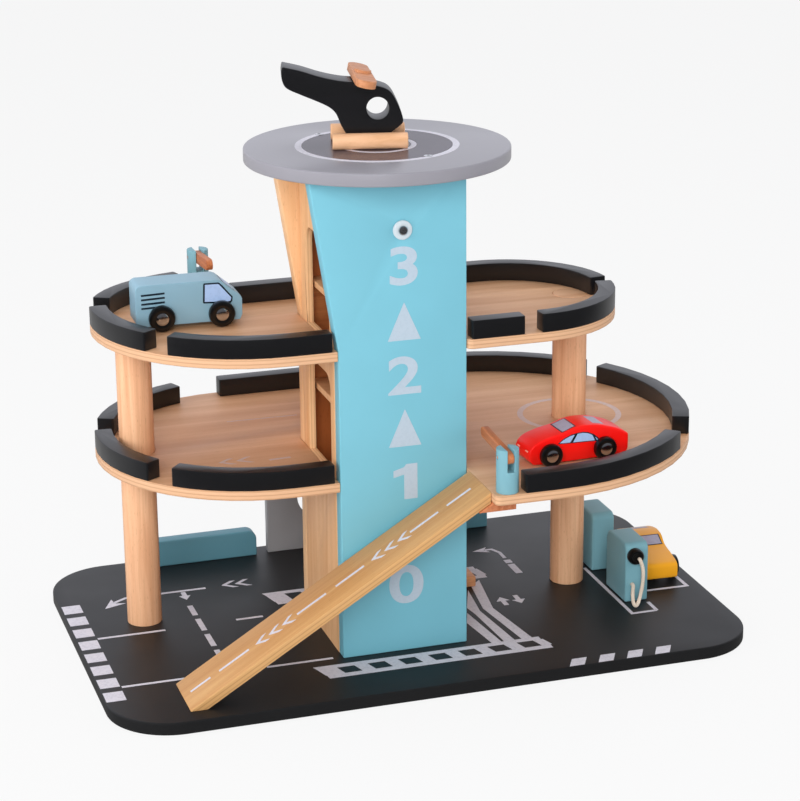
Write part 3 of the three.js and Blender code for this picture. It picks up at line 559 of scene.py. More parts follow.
# turned beech of the columns: pale, fine upright grain
POST_WOOD = VarnishedBeech("column_beech", pale="#EDBC94", middle="#DDA47B", dark="#A66F45",
                           grain=Grain.ALONG_Z, band_mm=5.0, contrast=0.5)
# beech of the tower's back: pale outside, and darkened brown on the side that closes the shaft, a painted
# shade of the shaft's inside
BACK_PANEL_WOOD_AND_SHADE = VarnishedBeech("back_panel_beech_and_shaft_shade", pale="#F0C395", middle="#E0AC7A", dark="#AC7547",
                            inside="#B47C58", grain=Grain.ALONG_Z, band_mm=12.0)
# pale beech of the helicopter's skids: quiet, almost without lines
SKID_WOOD = VarnishedBeech("skid_beech", pale="#EBBA92", middle="#DFAB80", dark="#A6714A",
                           band_mm=6.0, contrast=0.2)
# reddish beech of the rotor: fine and only slightly lined
ROTOR_WOOD = VarnishedBeech("rotor_beech", pale="#CF8F66", middle="#B97A50", dark="#83502D",
                            band_mm=4.0, contrast=0.3)
# beech of the crank and the wheel stop: fine grain, warm
SMALL_WOOD = VarnishedBeech("small_beech", pale="#E6A878", middle="#D08F62", dark="#8F5630", band_mm=3.0)
# reddish beech of the barrier arms: grain along the arm
ARM_WOOD = VarnishedBeech("arm_beech", pale="#C67A4E", middle="#AE643C", dark="#713B1E",
                          grain=Grain.ALONG_Y, band_mm=3.0)
# beech of the cleat under the ramp in darker, redder tones: a painted shade of the ramp and deck above it;
# fine grain across the ramp
SHADED_CLEAT_WOOD = VarnishedBeech("cleat_beech_painted_shade", pale="#C98058", middle="#B2673C", dark="#7C4123",
                            grain=Grain.ALONG_Y, band_mm=4.0)
# bluish white ink of the tower's numbers and arrows: opaque, matt
WHITE_INK = PrintedInk("white_ink", colour="#B0BFCC", thin="#A8B8C6", roughness=0.5)
# pale grey ink of the street plan, the ramp's marks and the pad's rings: matt, thin in places
PALE_INK = PrintedInk("pale_ink")
# faint ink of the lower deck's marks: so near the wood's tone that it only just shows
FAINT_INK = PrintedInk("faint_ink", colour="#C9B4B0", thin="#C9A68C")
# light blue ink of the side windows: a slight shine
GLASS_INK = PrintedInk("window_ink", colour="#A9C4EC", thin="#9DB8E0", roughness=0.35)
# violet-grey ink of the two cars' screens: a slight shine
SCREEN_INK = PrintedInk("screen_ink", colour="#A8A4B8", thin="#9C98AC", roughness=0.35)
# near-black ink of the windows' outlines and the vents
LINE_INK = PrintedInk("outline_ink", colour="#10202C", thin="#162834", roughness=0.4)
# pale red ink of the car's lamps
LAMP_INK = PrintedInk("lamp_ink", colour="#FFB9A8", thin="#FFA693", roughness=0.4)
# moulded black of the wheels and the pump's knob: smooth, with a tight highlight
TYRE_BLACK = MouldedPlastic("moulded_black_abs", colour="#0A0A0B", roughness=0.28)
# moulded white washer on the shaft: smooth and clean
WASHER_WHITE = MouldedPlastic("moulded_white_nylon", colour="#C2CCD2", roughness=0.3)
# nickelled steel of screws and hub caps: a bright, blurred mirror
STEEL = PressedSteel("nickel_steel")
# braided cotton of the fuel hose and the lift's string: soft and matt
CORD = BraidedCord("cotton_cord")

BODY_OF = {node: body for body, nodes in frame["record"]["behaviour"]["bodies"].items() for node in nodes}


def linked(name: str, data: bpy.types.ID) -> Piece:
    """Put an object with this data in the scene.

    Args:
        name: Its name.
        data: Its mesh, curve, camera or light.

    Returns:
        The object at the origin.
    """
    made = bpy.data.objects.new(name, data)
    bpy.context.scene.collection.objects.link(made)
    return made


def pick(piece: Piece) -> None:
    """Make a piece the active one and the only one selected.

    Args:
        piece: The piece that the next operators act on.
    """
    bpy.ops.object.select_all(action="DESELECT")
    piece.select_set(True)
    bpy.context.view_layer.objects.active = piece


def new_piece(name: str, corners: Sequence[Sequence[float]], edges: Sequence[Sequence[int]] = (),
              faces: Sequence[Sequence[int]] = ()) -> Piece:
    """Start a piece and make it the only one selected.

    Args:
        name: The piece's name.
        corners: Its points in metres.
        edges: Pairs of corner numbers.
        faces: Loops of corner numbers.

    Returns:
        The new object at the origin.
    """
    mesh = bpy.data.meshes.new(name)
    mesh.from_pydata([tuple(corner) for corner in corners], edges, faces)
    mesh.update()
    piece = linked(name, mesh)
    pick(piece)
    return piece


@contextmanager
def editing(piece: Piece) -> Iterator[None]:
    """Hold a piece in edit mode with all of it selected.

    Args:
        piece: The piece that the operators act on.

    Yields:
        Nothing, while the piece is in edit mode.
    """
    pick(piece)
    bpy.ops.object.mode_set(mode="EDIT")
    bpy.ops.mesh.select_all(action="SELECT")
    yield
    bpy.ops.object.mode_set(mode="OBJECT")


def modified(piece: Piece, kind: str, **settings: object) -> None:
    """Add a modifier to the piece and apply it.

    Args:
        piece: The piece to change.
        kind: The modifier's type name.
        **settings: Its properties.
    """
    pick(piece)
    modifier = piece.modifiers.new(kind.lower(), kind)
    for key, value in settings.items():
        setattr(modifier, key, value)
    bpy.ops.object.modifier_apply(modifier=modifier.name)


def eased(piece: Piece, radius_mm: float, segments: int = 3) -> None:
    """Round a piece's edges and shade its curves smooth.

    Args:
        piece: The piece to finish.
        radius_mm: The radius that sandpaper leaves on its edges.
        segments: The facets across each rounded edge.
    """
    modified(piece, "BEVEL", width=radius_mm * MM, segments=segments, limit_method="ANGLE",
             angle_limit=math.radians(SMOOTH_DEGREES), use_clamp_overlap=True, miter_outer="MITER_ARC")
    bpy.ops.object.shade_smooth_by_angle(angle=math.radians(SMOOTH_DEGREES))


def cut(piece: Piece, tool: Piece) -> None:
    """Take one shape's room out of a piece and remove the shape.

    Args:
        piece: The piece to cut.
        tool: The shape that it is cut with.
    """
    modified(piece, "BOOLEAN", object=tool, operation="DIFFERENCE", solver="EXACT")
    bpy.data.objects.remove(tool)


def sawn_block(name: str, corners: Sequence[Vector], across: Vector) -> Piece:
    """Saw a block from the outline of one side.

    Args:
        name: The piece's name.
        corners: The outline in metres.
        across: The way to the other side, as long as the block is wide.

    Returns:
        The closed block.
    """
    piece = new_piece(name, corners, faces=[list(range(len(corners)))])
    with editing(piece):
        bpy.ops.mesh.extrude_region_move(TRANSFORM_OT_translate={"value": across})
        bpy.ops.mesh.select_all(action="SELECT")
        bpy.ops.mesh.normals_make_consistent(inside=False)
    return piece


def inked(piece: Piece) -> None:
    """Give a flat mark the ink's thickness, off the face that it lies on.

    Args:
        piece: The mark.
    """
    modified(piece, "SOLIDIFY", thickness=INK_THICKNESS * MM, offset=1.0)


def settle(piece: Piece, finish: Finish, *nodes: str, body: str | None = None,
           slot: str | None = None) -> Piece:
    """Give a piece its finish and fix it to the body it moves with.

    Args:
        piece: The finished shape.
        finish: Its surface.
        *nodes: The solids that it stands for.
        body: The body it rides on, where it stands for no solid.
        slot: Not used.

    Returns:
        The same piece.
    """
    if not piece.data.materials:
        piece.data.materials.append(finish.material())
    if nodes:
        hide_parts(*nodes)
    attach(piece, body or BODY_OF[nodes[0]])
    LOG.info("%s: %d faces", piece.name, len(piece.data.polygons) if piece.type == "MESH" else 0)
    return piece


def eased_board(node: str, finish: Finish, radius_mm: float = 0.8, segments: int = 3) -> Piece:
    """Build a board on its solid's outline, with sanded edges.

    Args:
        node: The solid whose outline the board has.
        finish: The board's surface.
        radius_mm: The radius of its edges.
        segments: The facets across each rounded edge.

    Returns:
        The board, standing for the solid.
    """
    mesh = frame["nodes"][node].data.copy()
    mesh.materials.clear()
    piece = linked(f"{node}_eased", mesh)
    with editing(piece):
        bpy.ops.mesh.remove_doubles(threshold=0.001 * MM)
        bpy.ops.mesh.dissolve_limited(angle_limit=math.radians(0.5))
    eased(piece, radius_mm, segments)
    return settle(piece, finish, node)


def turned_part(name: str, profile: Sequence[Point], origin: Place, axis: Place, steps: int = 48,
                ease_mm: float = 0.0) -> Piece:
    """Spin a profile round an axis, as on a lathe.

    Args:
        name: The piece's name.
        profile: Radius and height pairs in millimetres, from one end to the other.
        origin: The foot of the axis in millimetres.
        axis: The axis's direction.
        steps: The facets round the axis.
        ease_mm: The radius of its rims, or zero where the profile has them.

    Returns:
        The turned piece.
    """
    foot, along = Vector(origin) * MM, Vector(axis).normalized()
    side = along.orthogonal().normalized()
    corners = [foot + side * radius * MM + along * height * MM for radius, height in profile]
    piece = new_piece(name, corners, [(i, i + 1) for i in range(len(corners) - 1)])
    with editing(piece):
        bpy.ops.mesh.spin(steps=steps, angle=2 * math.pi, center=foot, axis=along)
        bpy.ops.mesh.select_all(action="SELECT")
        bpy.ops.mesh.remove_doubles(threshold=0.002 * MM)
        bpy.ops.mesh.normals_make_consistent(inside=False)
    if ease_mm:
        eased(piece, ease_mm)
    else:
        bpy.ops.object.shade_smooth_by_angle(angle=math.radians(SMOOTH_DEGREES))
    return piece


def dowel_part(name: str, radius: float, length: float, origin: Place, axis: Place,
               ease_mm: float = 0.8) -> Piece:
    """Turn a plain dowel with eased rims.

    Args:
        name: The piece's name.
        radius: Its radius in millimetres.
        length: Its length in millimetres.
        origin: The middle of its first end.
        axis: Its direction.
        ease_mm: The radius of its rims.

    Returns:
        The dowel.
    """
    profile = [(0, 0), (radius, 0), (radius, length), (0, length)]
    return turned_part(name, profile, origin, axis, ease_mm=ease_mm)


@dataclass(frozen=True)
class PrintFace:
    """A flat face that takes printed marks, with its own two directions in millimetres."""

    origin: Place
    across: Place = (1.0, 0.0, 0.0)
    up: Place = (0.0, 1.0, 0.0)

    def at(self, x: float, y: float, lift: float = 0.0) -> Vector:
        """Return the point of the face at x and y, lifted off it, in metres."""
        across, up = Vector(self.across).normalized(), Vector(self.up).normalized()
        return (Vector(self.origin) + across * x + up * y + across.cross(up) * lift) * MM


def printed(name: str, face: PrintFace, shapes: Sequence[Sequence[Point]], finish: Finish,
            body: str = "garage", slot: str = "white_plastic", lift: float = 0.02) -> Piece:
    """Lay thin marks of ink on a face.

    Args:
        name: The piece's name.
        face: The face that carries the marks.
        shapes: Outlines in millimetres.
        finish: The ink.
        body: The body that the face belongs to.
        slot: Not used; only handed on to settle.
        lift: The height of the ink's underside over the face.

    Returns:
        All the marks as one thin piece.
    """
    corners: list[Vector] = []
    faces: list[list[int]] = []
    for shape in shapes:
        twice_area = sum(a[0] * b[1] - b[0] * a[1] for a, b in zip(shape, [*shape[1:], shape[0]]))
        ordered = list(shape) if twice_area > 0 else list(reversed(shape))
        faces.append(list(range(len(corners), len(corners) + len(ordered))))
        corners += [face.at(x, y, lift) for x, y in ordered]
    piece = new_piece(name, corners, faces=faces)
    inked(piece)
    return settle(piece, finish, body=body, slot=slot)


def stroke(points: Sequence[Point], width: float) -> list[Point]:
    """Outline a line of even width with square ends and mitred corners.

    Args:
        points: The line's points.
        width: Its width.

    Returns:
        The outline.
    """
    line = [Vector(point) for point in points]
    left, right = [], []
    for i, point in enumerate(line):
        before = (point - line[i - 1]).normalized() if i else (line[1] - point).normalized()
        after = (line[i + 1] - point).normalized() if i < len(line) - 1 else before
        mean = (before + after).normalized()
        normal = Vector((-mean.y, mean.x))
        reach = width / 2 / max(0.35, normal.dot(Vector((-after.y, after.x))))
        left.append(tuple(point + normal * reach))
        right.append(tuple(point - normal * reach))
    return left + right[::-1]


def ring_shapes(x: float, y: float, inner: float, outer: float) -> list[list[Point]]:
    """Cut a flat ring into short pieces.

    Args:
        x: Its middle.
        y: Its middle.
        inner: The inner radius.
        outer: The outer radius.

    Returns:
        The outlines of the pieces.
    """
    def rim(radius: float, i: int) -> Point:
        """Return the i-th point of a circle round the middle."""
        angle = 2 * math.pi * i / RING_PIECES
        return x + radius * math.cos(angle), y + radius * math.sin(angle)
    return [[rim(inner, i), rim(outer, i), rim(outer, i + 1), rim(inner, i + 1)]
            for i in range(RING_PIECES)]


def chevrons(x: float, y: float, heading: float, count: int, pitch: float, size: float,
             width: float, slant: float = 0.75) -> list[list[Point]]:
    """Outline a row of chevrons that point the way they run.

    Args:
        x: The first one's tip.
        y: The first one's tip.
        heading: The way they point, in degrees.
        count: How many there are.
        pitch: The distance between tips.
        size: How far the arms reach back.
        width: The width of an arm along the row.
        slant: How far they reach to the side, as a share of the size.

    Returns:
        The outlines.
    """
    turn = Matrix.Rotation(math.radians(heading), 2)
    row = []
    for i in range(count):
        tip = -i * pitch
        side = size * slant
        local = [(tip, 0), (tip - size, side), (tip - size - width, side), (tip - width, 0),
                 (tip - size - width, -side), (tip - size, -side)]
        row.append([tuple(Vector((x, y)) + turn @ Vector(point)) for point in local])
    return row


def arrow_head(tip: Point, heading: float, length: float, width: float) -> list[Point]:
    """Outline a swept arrow head.

    Args:
        tip: Its point.
        heading: The way it points, in degrees.
        length: Its length.
        width: Its width.

    Returns:
        The outline.
    """
    turn = Matrix.Rotation(math.radians(heading), 2)
    local = [(0, 0), (-length, width / 2), (-length * 0.72, 0), (-length, -width / 2)]
    return [tuple(Vector(tip) + turn @ Vector(point)) for point in local]


def block(x0: float, y0: float, x1: float, y1: float) -> list[Point]:
    """Return the outline of a rectangle between two corners."""
    return [(x0, y0), (x1, y0), (x1, y1), (x0, y1)]


def smooth_outline(points: Sequence[Point], sharp_degrees: float = 50.0) -> list[Point]:
    """Bend a closed outline through its points, keeping its sharp corners.

    Args:
        points: The outline.
        sharp_degrees: A corner that turns more than this stays sharp.

    Returns:
        The finer outline.
    """
    line = [Vector(point) for point in points]
    count = len(line)

    def bend(i: int) -> float:
        """Return how far the outline turns at a point, in degrees."""
        return math.degrees((line[i] - line[i - 1]).angle(line[(i + 1) % count] - line[i]))
    finer: list[Point] = []
    for i in range(count):
        start, end = line[i], line[(i + 1) % count]
        before = start * 2 - end if bend(i) > sharp_degrees else line[i - 1]
        after = end * 2 - start if bend((i + 1) % count) > sharp_degrees else line[(i + 2) % count]
        reach = (end - start).length
        leave = (end - before).normalized() * reach
        arrive = (after - start).normalized() * reach
        for k in range(BEND_PIECES):
            t = k / BEND_PIECES
            point = (start * (2 * t ** 3 - 3 * t ** 2 + 1) + leave * (t ** 3 - 2 * t ** 2 + t)
                     + end * (3 * t ** 2 - 2 * t ** 3) + arrive * (t ** 3 - t ** 2))
            finer.append(tuple(point))
    return finer


@dataclass
class GroundBoard:
    """The black base board with its printed street plan."""

    length: float = 510.0
    width: float = 321.0
    corner: float = 50.0
    line: float = 3.0
    crossing_left: tuple[float, float, float] = (-254.0, -239.0, 81.0)
    stripe_pitch: float = 24.8
    stripe_width: float = 16.5
    rung_pitch: float = 24.2

    def board(self) -> None:
        """Shape the board from a slab: round its corners, then ease its rims."""
        bpy.ops.object.select_all(action="DESELECT")
        bpy.ops.mesh.primitive_cube_add(size=1, location=(0, 0, BASE_TOP / 2 * MM))
        piece = bpy.context.object
        piece.name = piece.data.name = "ground_board"
        piece.scale = (self.length * MM, self.width * MM, BASE_TOP * MM)
        bpy.ops.object.transform_apply(location=True, rotation=True, scale=True)
        with editing(piece):
            bpy.ops.mesh.select_mode(type="EDGE")
            bpy.ops.mesh.select_all(action="DESELECT")
            bpy.ops.object.mode_set(mode="OBJECT")
            for edge in piece.data.edges:
                low, high = (piece.data.vertices[i].co for i in edge.vertices)
                edge.select = abs(low.z - high.z) > BASE_TOP / 2 * MM
            bpy.ops.object.mode_set(mode="EDIT")
            bpy.ops.mesh.bevel(offset=self.corner * MM, segments=24)
            bpy.ops.mesh.select_mode(type="VERT")
        eased(piece, 1.5, segments=4)
        settle(piece, BASE_BLACK, "base_board")

    def crossings(self) -> list[list[Point]]:
        """Outline the zebra stripes at the left and the slanted ones at the front right.

        Returns:
            The outlines.
        """
        left, right, start = self.crossing_left
        tops = [start - i * self.stripe_pitch for i in range(8)]
        stripes = [block(left, top - self.stripe_width, right, top) for top in tops]
        stripes += [[(x, -159), (x + 12.2, -159), (x + 18.6, -147), (x + 6.4, -147)]
                    for x in (92.6, 116.2, 139.5, 162.8)]
        return stripes

    def bands(self, y_front: float, y_back: float) -> list[list[Point]]:
        """Outline one ladder band: two long lines joined by slanted bars.

        Args:
            y_front: Its front edge.
            y_back: Its back edge.

        Returns:
            The outlines.
        """
        inner_front, inner_back = y_front + 6, y_back - 5.5
        lean = 3.5
        shapes = [
            [(-89.5 + lean, y_front), (90 + lean, y_front), (90 + lean, inner_front), (-87, inner_front)],
            [(-91, inner_back), (90, inner_back), (90, y_back), (-93, y_back)],
        ]
        starts = [-91, *(-62 + self.rung_pitch * i for i in range(7))]
        ends = [-75.8 + self.rung_pitch * i for i in range(7)] + [91.5]
        for start, end in zip(starts, ends):
            shapes.append([(start + lean, inner_front), (end + lean, inner_front), (end, inner_back),
                           (start, inner_back)])
        return shapes

    def lanes(self) -> list[list[Point]]:
        """Outline the parking lines, the arrows, the dashes and the bays.

        Returns:
            The outlines.
        """
        w = self.line
        shapes = [stroke(line, w) for line in (
            [(-238, 8.5), (-184, 8.5)], [(-238, -86), (-190, -86)], [(-126, 10.5), (-104, 10.5)],
            [(-126, -86), (-73.5, -86)], [(-134, 83), (-201, 83), (-212, 76)],
            [(112, 88), (118, 88), (122, 79), (122, 65.5)],
        )]
        dashes = ((30, 50.5), (-2, 22), (-34, -10), (-66, -42))
        shapes += [block(-157, foot, -152.5, top) for foot, top in dashes]
        shapes += [block(119, y0, 125, y1) for y0, y1 in ((54, 61), (30, 51))]
        shapes += [arrow_head((-221, 66), 222, 18, 15), arrow_head((101, 88), 180, 14, 12)]
        shapes += [[(-155.6, 80), (-155.8, 72.6), (-158.6, 72.2), (-154.2, 63.6), (-149.2, 72),
                    (-151.8, 72.4), (-151.8, 80)]]
        shapes += chevrons(-108.8, 84.2, 180, 2, -11.5, 8.5, 4.5, slant=0.82)
        shapes += [stroke([(206, -39.5), (242.5, -40.5), (242.2, -16)], w)]
        shapes += [stroke([(177.4, 23), (177.4, -79.8), (198.6, -79.8)], w)]
        shapes += [stroke([(198.6, -79.8), (198.6, -62)], w)]
        return shapes

    def sweeps(self) -> list[list[Point]]:
        """Outline the fan of pale stripes at the lift's exit and the small arrows beside it.

        Returns:
            The outlines.
        """
        fan = [
            [(85, 26.4), (75.8, -33.2), (84.6, -98.5), (76.2, -98.5), (67.9, -31.6), (74.4, 16.3)],
            [(69.2, 9), (63.9, -35.6), (70.3, -98.5), (61.6, -98.5), (58.1, -40.1), (56, -26.4)],
            [(52.7, -36.1), (59.4, -98.5), (51.4, -98.5), (46, -55.2)],
        ]
        up = [(88.5, -14), (94, -22), (90.5, -22), (90.5, -31), (86.5, -31), (86.5, -22), (83, -22)]
        down = [(x + 13, -45 - y) for x, y in up]
        return fan + [up, down]

    def build(self) -> None:
        """Build the board and lay its prints."""
        self.board()
        face = PrintFace((0, 0, BASE_TOP))
        shapes = self.crossings() + self.bands(-121.5, -98.5) + self.bands(30, 56)
        shapes += self.lanes() + self.sweeps()
        printed("ground_marks", face, shapes, PALE_INK)


@dataclass
class LiftTower:
    """The lift tower: panels, roof pad, cabin, winding gear and the column of floor numbers."""

    pad_radius: float = 100.0
    glyph_x: float = -15.0
    glyph_width: float = 28.0
    boldness: float = 0.022
    one: tuple[Point, ...] = ((0.16, 0), (0.36, 0), (0.36, 0.72), (0.19, 0.72), (0.16, 0.66), (0, 0.6),
                              (0, 0.46), (0.16, 0.51))
    glyph_rows: dict[str, Point] = field(default_factory=lambda: {
        "3": (301.9, 331.4), "up_3": (259.7, 288.9), "2": (217.7, 247.3), "up_2": (176.6, 205.9),
        "1": (134.2, 162.3), "up_1": (87.9, 118.8), "0": (49.1, 80.5),
    })

    def panels(self) -> None:
        """Dress the four walls of the shaft."""
        eased_board("tower_front_panel", BLUE, 0.9)
        eased_board("tower_back_panel", BACK_PANEL_WOOD_AND_SHADE, 0.9)
        eased_board("tower_left_side", SIDE_WOOD, 0.6)
        eased_board("tower_right_side", SIDE_WOOD, 0.6)

    def pad(self) -> None:
        """Turn the round roof pad and print its rings."""
        centre = (-17.0, TOWER_MIDDLE[1])
        radius, thickness = self.pad_radius, 10.0
        disc = turned_part("roof_pad", [(0, 0), (radius, 0), (radius, thickness), (0, thickness)],
                           (*centre, PAD_TOP - thickness), (0, 0, 1), steps=144, ease_mm=1.2)
        settle(disc, PAD_GREY, "helipad_disc")
        face = PrintFace((*centre, PAD_TOP))
        printed("pad_centre", face, ring_shapes(0, 0, 29.5, 56.5) + ring_shapes(0, 0, 0.1, 25.5), PAD_INNER,
                slot="dark_grey_paint")
        printed("pad_rings", face, ring_shapes(0, 0, 56.5, 61.5) + ring_shapes(0, 0, 25.5, 29.5), PALE_INK)
        for side, (x, y) in {"front": (6.4, -84), "rear": (-47.5, 17.5)}.items():
            self.pad_screw(f"{side}_pad_screw", (x, y, PAD_TOP))

    def pad_screw(self, name: str, place: Place) -> None:
        """Sink a small dark screw in the pad.

        Args:
            name: The screw's name.
            place: The middle of its head in millimetres.
        """
        profile = [(0, 0), (3.4, 0), (3.4, 0.35), (2.6, 0.6), (1.2, 0.65), (1.0, 0.25), (0, 0.25)]
        head = turned_part(name, profile, place, (0, 0, 1), steps=32)
        settle(head, STEEL, body="garage", slot="steel")

    def digit(self, digit: str, low: float, high: float) -> None:
        """Print one bold floor number on the front panel.

        Args:
            digit: The number.
            low: The height of its foot.
            high: The height of its top.
        """
        bpy.ops.object.select_all(action="DESELECT")
        bpy.ops.object.text_add()
        piece = bpy.context.object
        piece.name = piece.data.name = f"floor_number_{digit}"
        piece.data.body = digit
        piece.data.offset = self.boldness
        piece.data.resolution_u = 8
        bpy.ops.object.convert(target="MESH")
        if digit == "1":
            piece.data.clear_geometry()
            piece.data.from_pydata([(*corner, 0) for corner in self.one], [], [list(range(len(self.one)))])
        corners = [vertex.co for vertex in piece.data.vertices]
        left, right = min(c.x for c in corners), max(c.x for c in corners)
        bottom, top = min(c.y for c in corners), max(c.y for c in corners)
        tall = (high - low) / (top - bottom)
        wide = min(tall * 1.35, self.glyph_width / (right - left))
        face = PrintFace((self.glyph_x, TOWER_FRONT, low), up=(0, 0, 1))
        for corner in corners:
            corner.xyz = face.at((corner.x - (left + right) / 2) * wide, (corner.y - bottom) * tall, 0.02)
        with editing(piece):
            bpy.ops.mesh.remove_doubles(threshold=0.02 * MM)
            bpy.ops.mesh.normals_make_consistent(inside=False)
        inked(piece)
        piece.data.shade_flat()
        settle(piece, WHITE_INK, body="garage", slot="white_plastic")

    def numbers(self) -> None:
        """Print the floor numbers and the arrows between them on the front panel."""
        arrows = []
        for name, (low, high) in self.glyph_rows.items():
            if name.startswith("up"):
                half = self.glyph_width * 0.46
                arrows.append([(self.glyph_x - half, low), (self.glyph_x + half, low), (self.glyph_x, high)])
            else:
                self.digit(name, low, high)
        face = PrintFace((0, TOWER_FRONT, 0), up=(0, 0, 1))
        printed("floor_arrows", face, arrows, WHITE_INK)

    def cabin(self) -> None:
        """Dress the lift cabin and its string."""
        for node in ("lift_floor", "lift_roof"):
            eased_board(node, CABIN_WOOD, 0.5, segments=2)
        # the walls' plywood carries a painted shade of the shaft
        for node in ("lift_front_wall", "lift_back_wall"):
            eased_board(node, SHADED_CABIN_WALL_WOOD, 0.5, segments=2)
        string = frame["nodes"]["lift_string"]
        string.data.materials.clear()
        string.data.materials.append(CORD.material())

    def winding_gear(self) -> None:
        """Turn the washer and the screw, and ease the shaft, the crank and the crank's knob."""
        x, z = TOWER_MIDDLE[0], SHAFT_HEIGHT
        front = TOWER_FRONT
        eased_board("winding_shaft", POST_WOOD, 0.5, segments=2)
        profile = [(2.3, 0.3), (6.2, 0), (7.25, 0.6), (7.25, 2), (2.3, 2), (2.3, 0.3)]
        washer = turned_part("washer_disc", profile, (x, front - 2.3, z), (0, 1, 0), steps=64)
        settle(washer, WASHER_WHITE, "shaft_washer")
        head = turned_part("shaft_screw_head", [
            (0, 0), (1.6, 0.1), (2.9, 0.6), (3.6, 1.5), (3.6, 2.2), (2, 2.2), (2, 16), (0, 16.5),
        ], (x, front - 4.8, z), (0, 1, 0), steps=48)
        cross = new_piece("screw_recess", [
            Vector((x + px, front - 5.2, z + pz)) * MM for px, pz in (
                (-0.5, 0.5), (-2.1, 0.5), (-2.1, -0.5), (-0.5, -0.5), (-0.5, -2.1), (0.5, -2.1), (0.5, -0.5),
                (2.1, -0.5), (2.1, 0.5), (0.5, 0.5), (0.5, 2.1), (-0.5, 2.1))
        ], faces=[list(range(12))])
        inward = -1.0 if cross.data.polygons[0].normal.y < 0 else 1.0
        modified(cross, "SOLIDIFY", thickness=1.5 * MM, offset=inward)
        cut(head, cross)
        settle(head, STEEL, "shaft_screw")
        eased_board("crank_arm", SMALL_WOOD, 1.0)
        eased_board("crank_knob", SMALL_WOOD, 1.0)

    def build(self) -> None:
        """Build the whole tower."""
        self.panels()
        self.pad()
        self.numbers()
        self.cabin()
        self.winding_gear()


@dataclass
class Decks:
    """The two decks with their columns, kerbs, ramps and printed marks."""

    column_radius: float = 13.7
    columns: dict[str, Point] = field(default_factory=lambda: {
        "left_column": (-195.1, 33.8), "right_column": (154.5, 6.1),
    })
    ramp_slope: float = 31.4
    ramp_y: float = -120.0
    ramp_top_x: float = 34.0

    def boards(self) -> None:
        """Dress the decks, the ramps and the wedge under the front ramp."""
        eased_board("lower_deck", DECK_WOOD, 0.6)
        eased_board("upper_deck", DECK_WOOD, 0.6)
        eased_board("front_ramp", RAMP_WOOD, 0.5)
        eased_board("rear_ramp", REAR_RAMP_WOOD, 0.5)
        # the cleat's beech carries a painted shade
        eased_board("front_ramp_cleat", SHADED_CLEAT_WOOD, 0.7)

    def posts(self) -> None:
        """Turn the two columns."""
        for node, (x, y) in self.columns.items():
            post = dowel_part(f"{node}_turned", self.column_radius, UPPER_TOP - BASE_TOP, (x, y, BASE_TOP),
                              (0, 0, 1), ease_mm=0.3)
            post.data.materials.append(POST_WOOD.material())
            post.data.materials.append(DECK_WOOD.material())
            for face in post.data.polygons:
                face.material_index = int(face.normal.z > 0.9)
            settle(post, POST_WOOD, node)

    def kerbs(self) -> None:
        """Ease every black kerb rail."""
        for level, ends in {
            "lower": ("front", "left", "rear_left", "back", "right", "front_right"),
            "upper": ("front", "left", "rear_left", "back", "right", "short"),
        }.items():
            for end in ends:
                eased_board(f"{level}_rail_{end}", BLACK, 0.7)

    def marks(self) -> None:
        """Print the ramp's dashes and chevrons, and the faint marks on the lower deck."""
        slope = math.radians(self.ramp_slope)
        ramp = PrintFace((self.ramp_top_x, self.ramp_y, LOWER_TOP),
                         across=(-math.cos(slope), 0, -math.sin(slope)), up=(0, -1, 0))
        dashes = [block(start, -1.3, end, 1.3) for start, end in (
            (9, 31), (39, 65), (107.5, 133.5), (142.5, 169), (213, 240), (248, 266))]
        arrows = chevrons(101, 0, 0, 3, 12, 7.5, 4) + chevrons(207, 0, 0, 3, 12, 7.5, 4)
        printed("ramp_marks", ramp, dashes + arrows, PALE_INK)
        deck = PrintFace((0, 0, LOWER_TOP))
        shapes = ring_shapes(156, 8.5, 37.6, 42.2)
        shapes += chevrons(-128, -15, 180, 2, -14, 9, 4)
        shapes += [stroke([(-103, -21), (-86, -20)], 3), stroke([(-112, 80), (-54, 78.5)], 1.4)]
        printed("deck_marks", deck, shapes, FAINT_INK)

    def build(self) -> None:
        """Build decks, columns, kerbs and marks."""
        self.boards()
        self.posts()
        self.kerbs()
        self.marks()


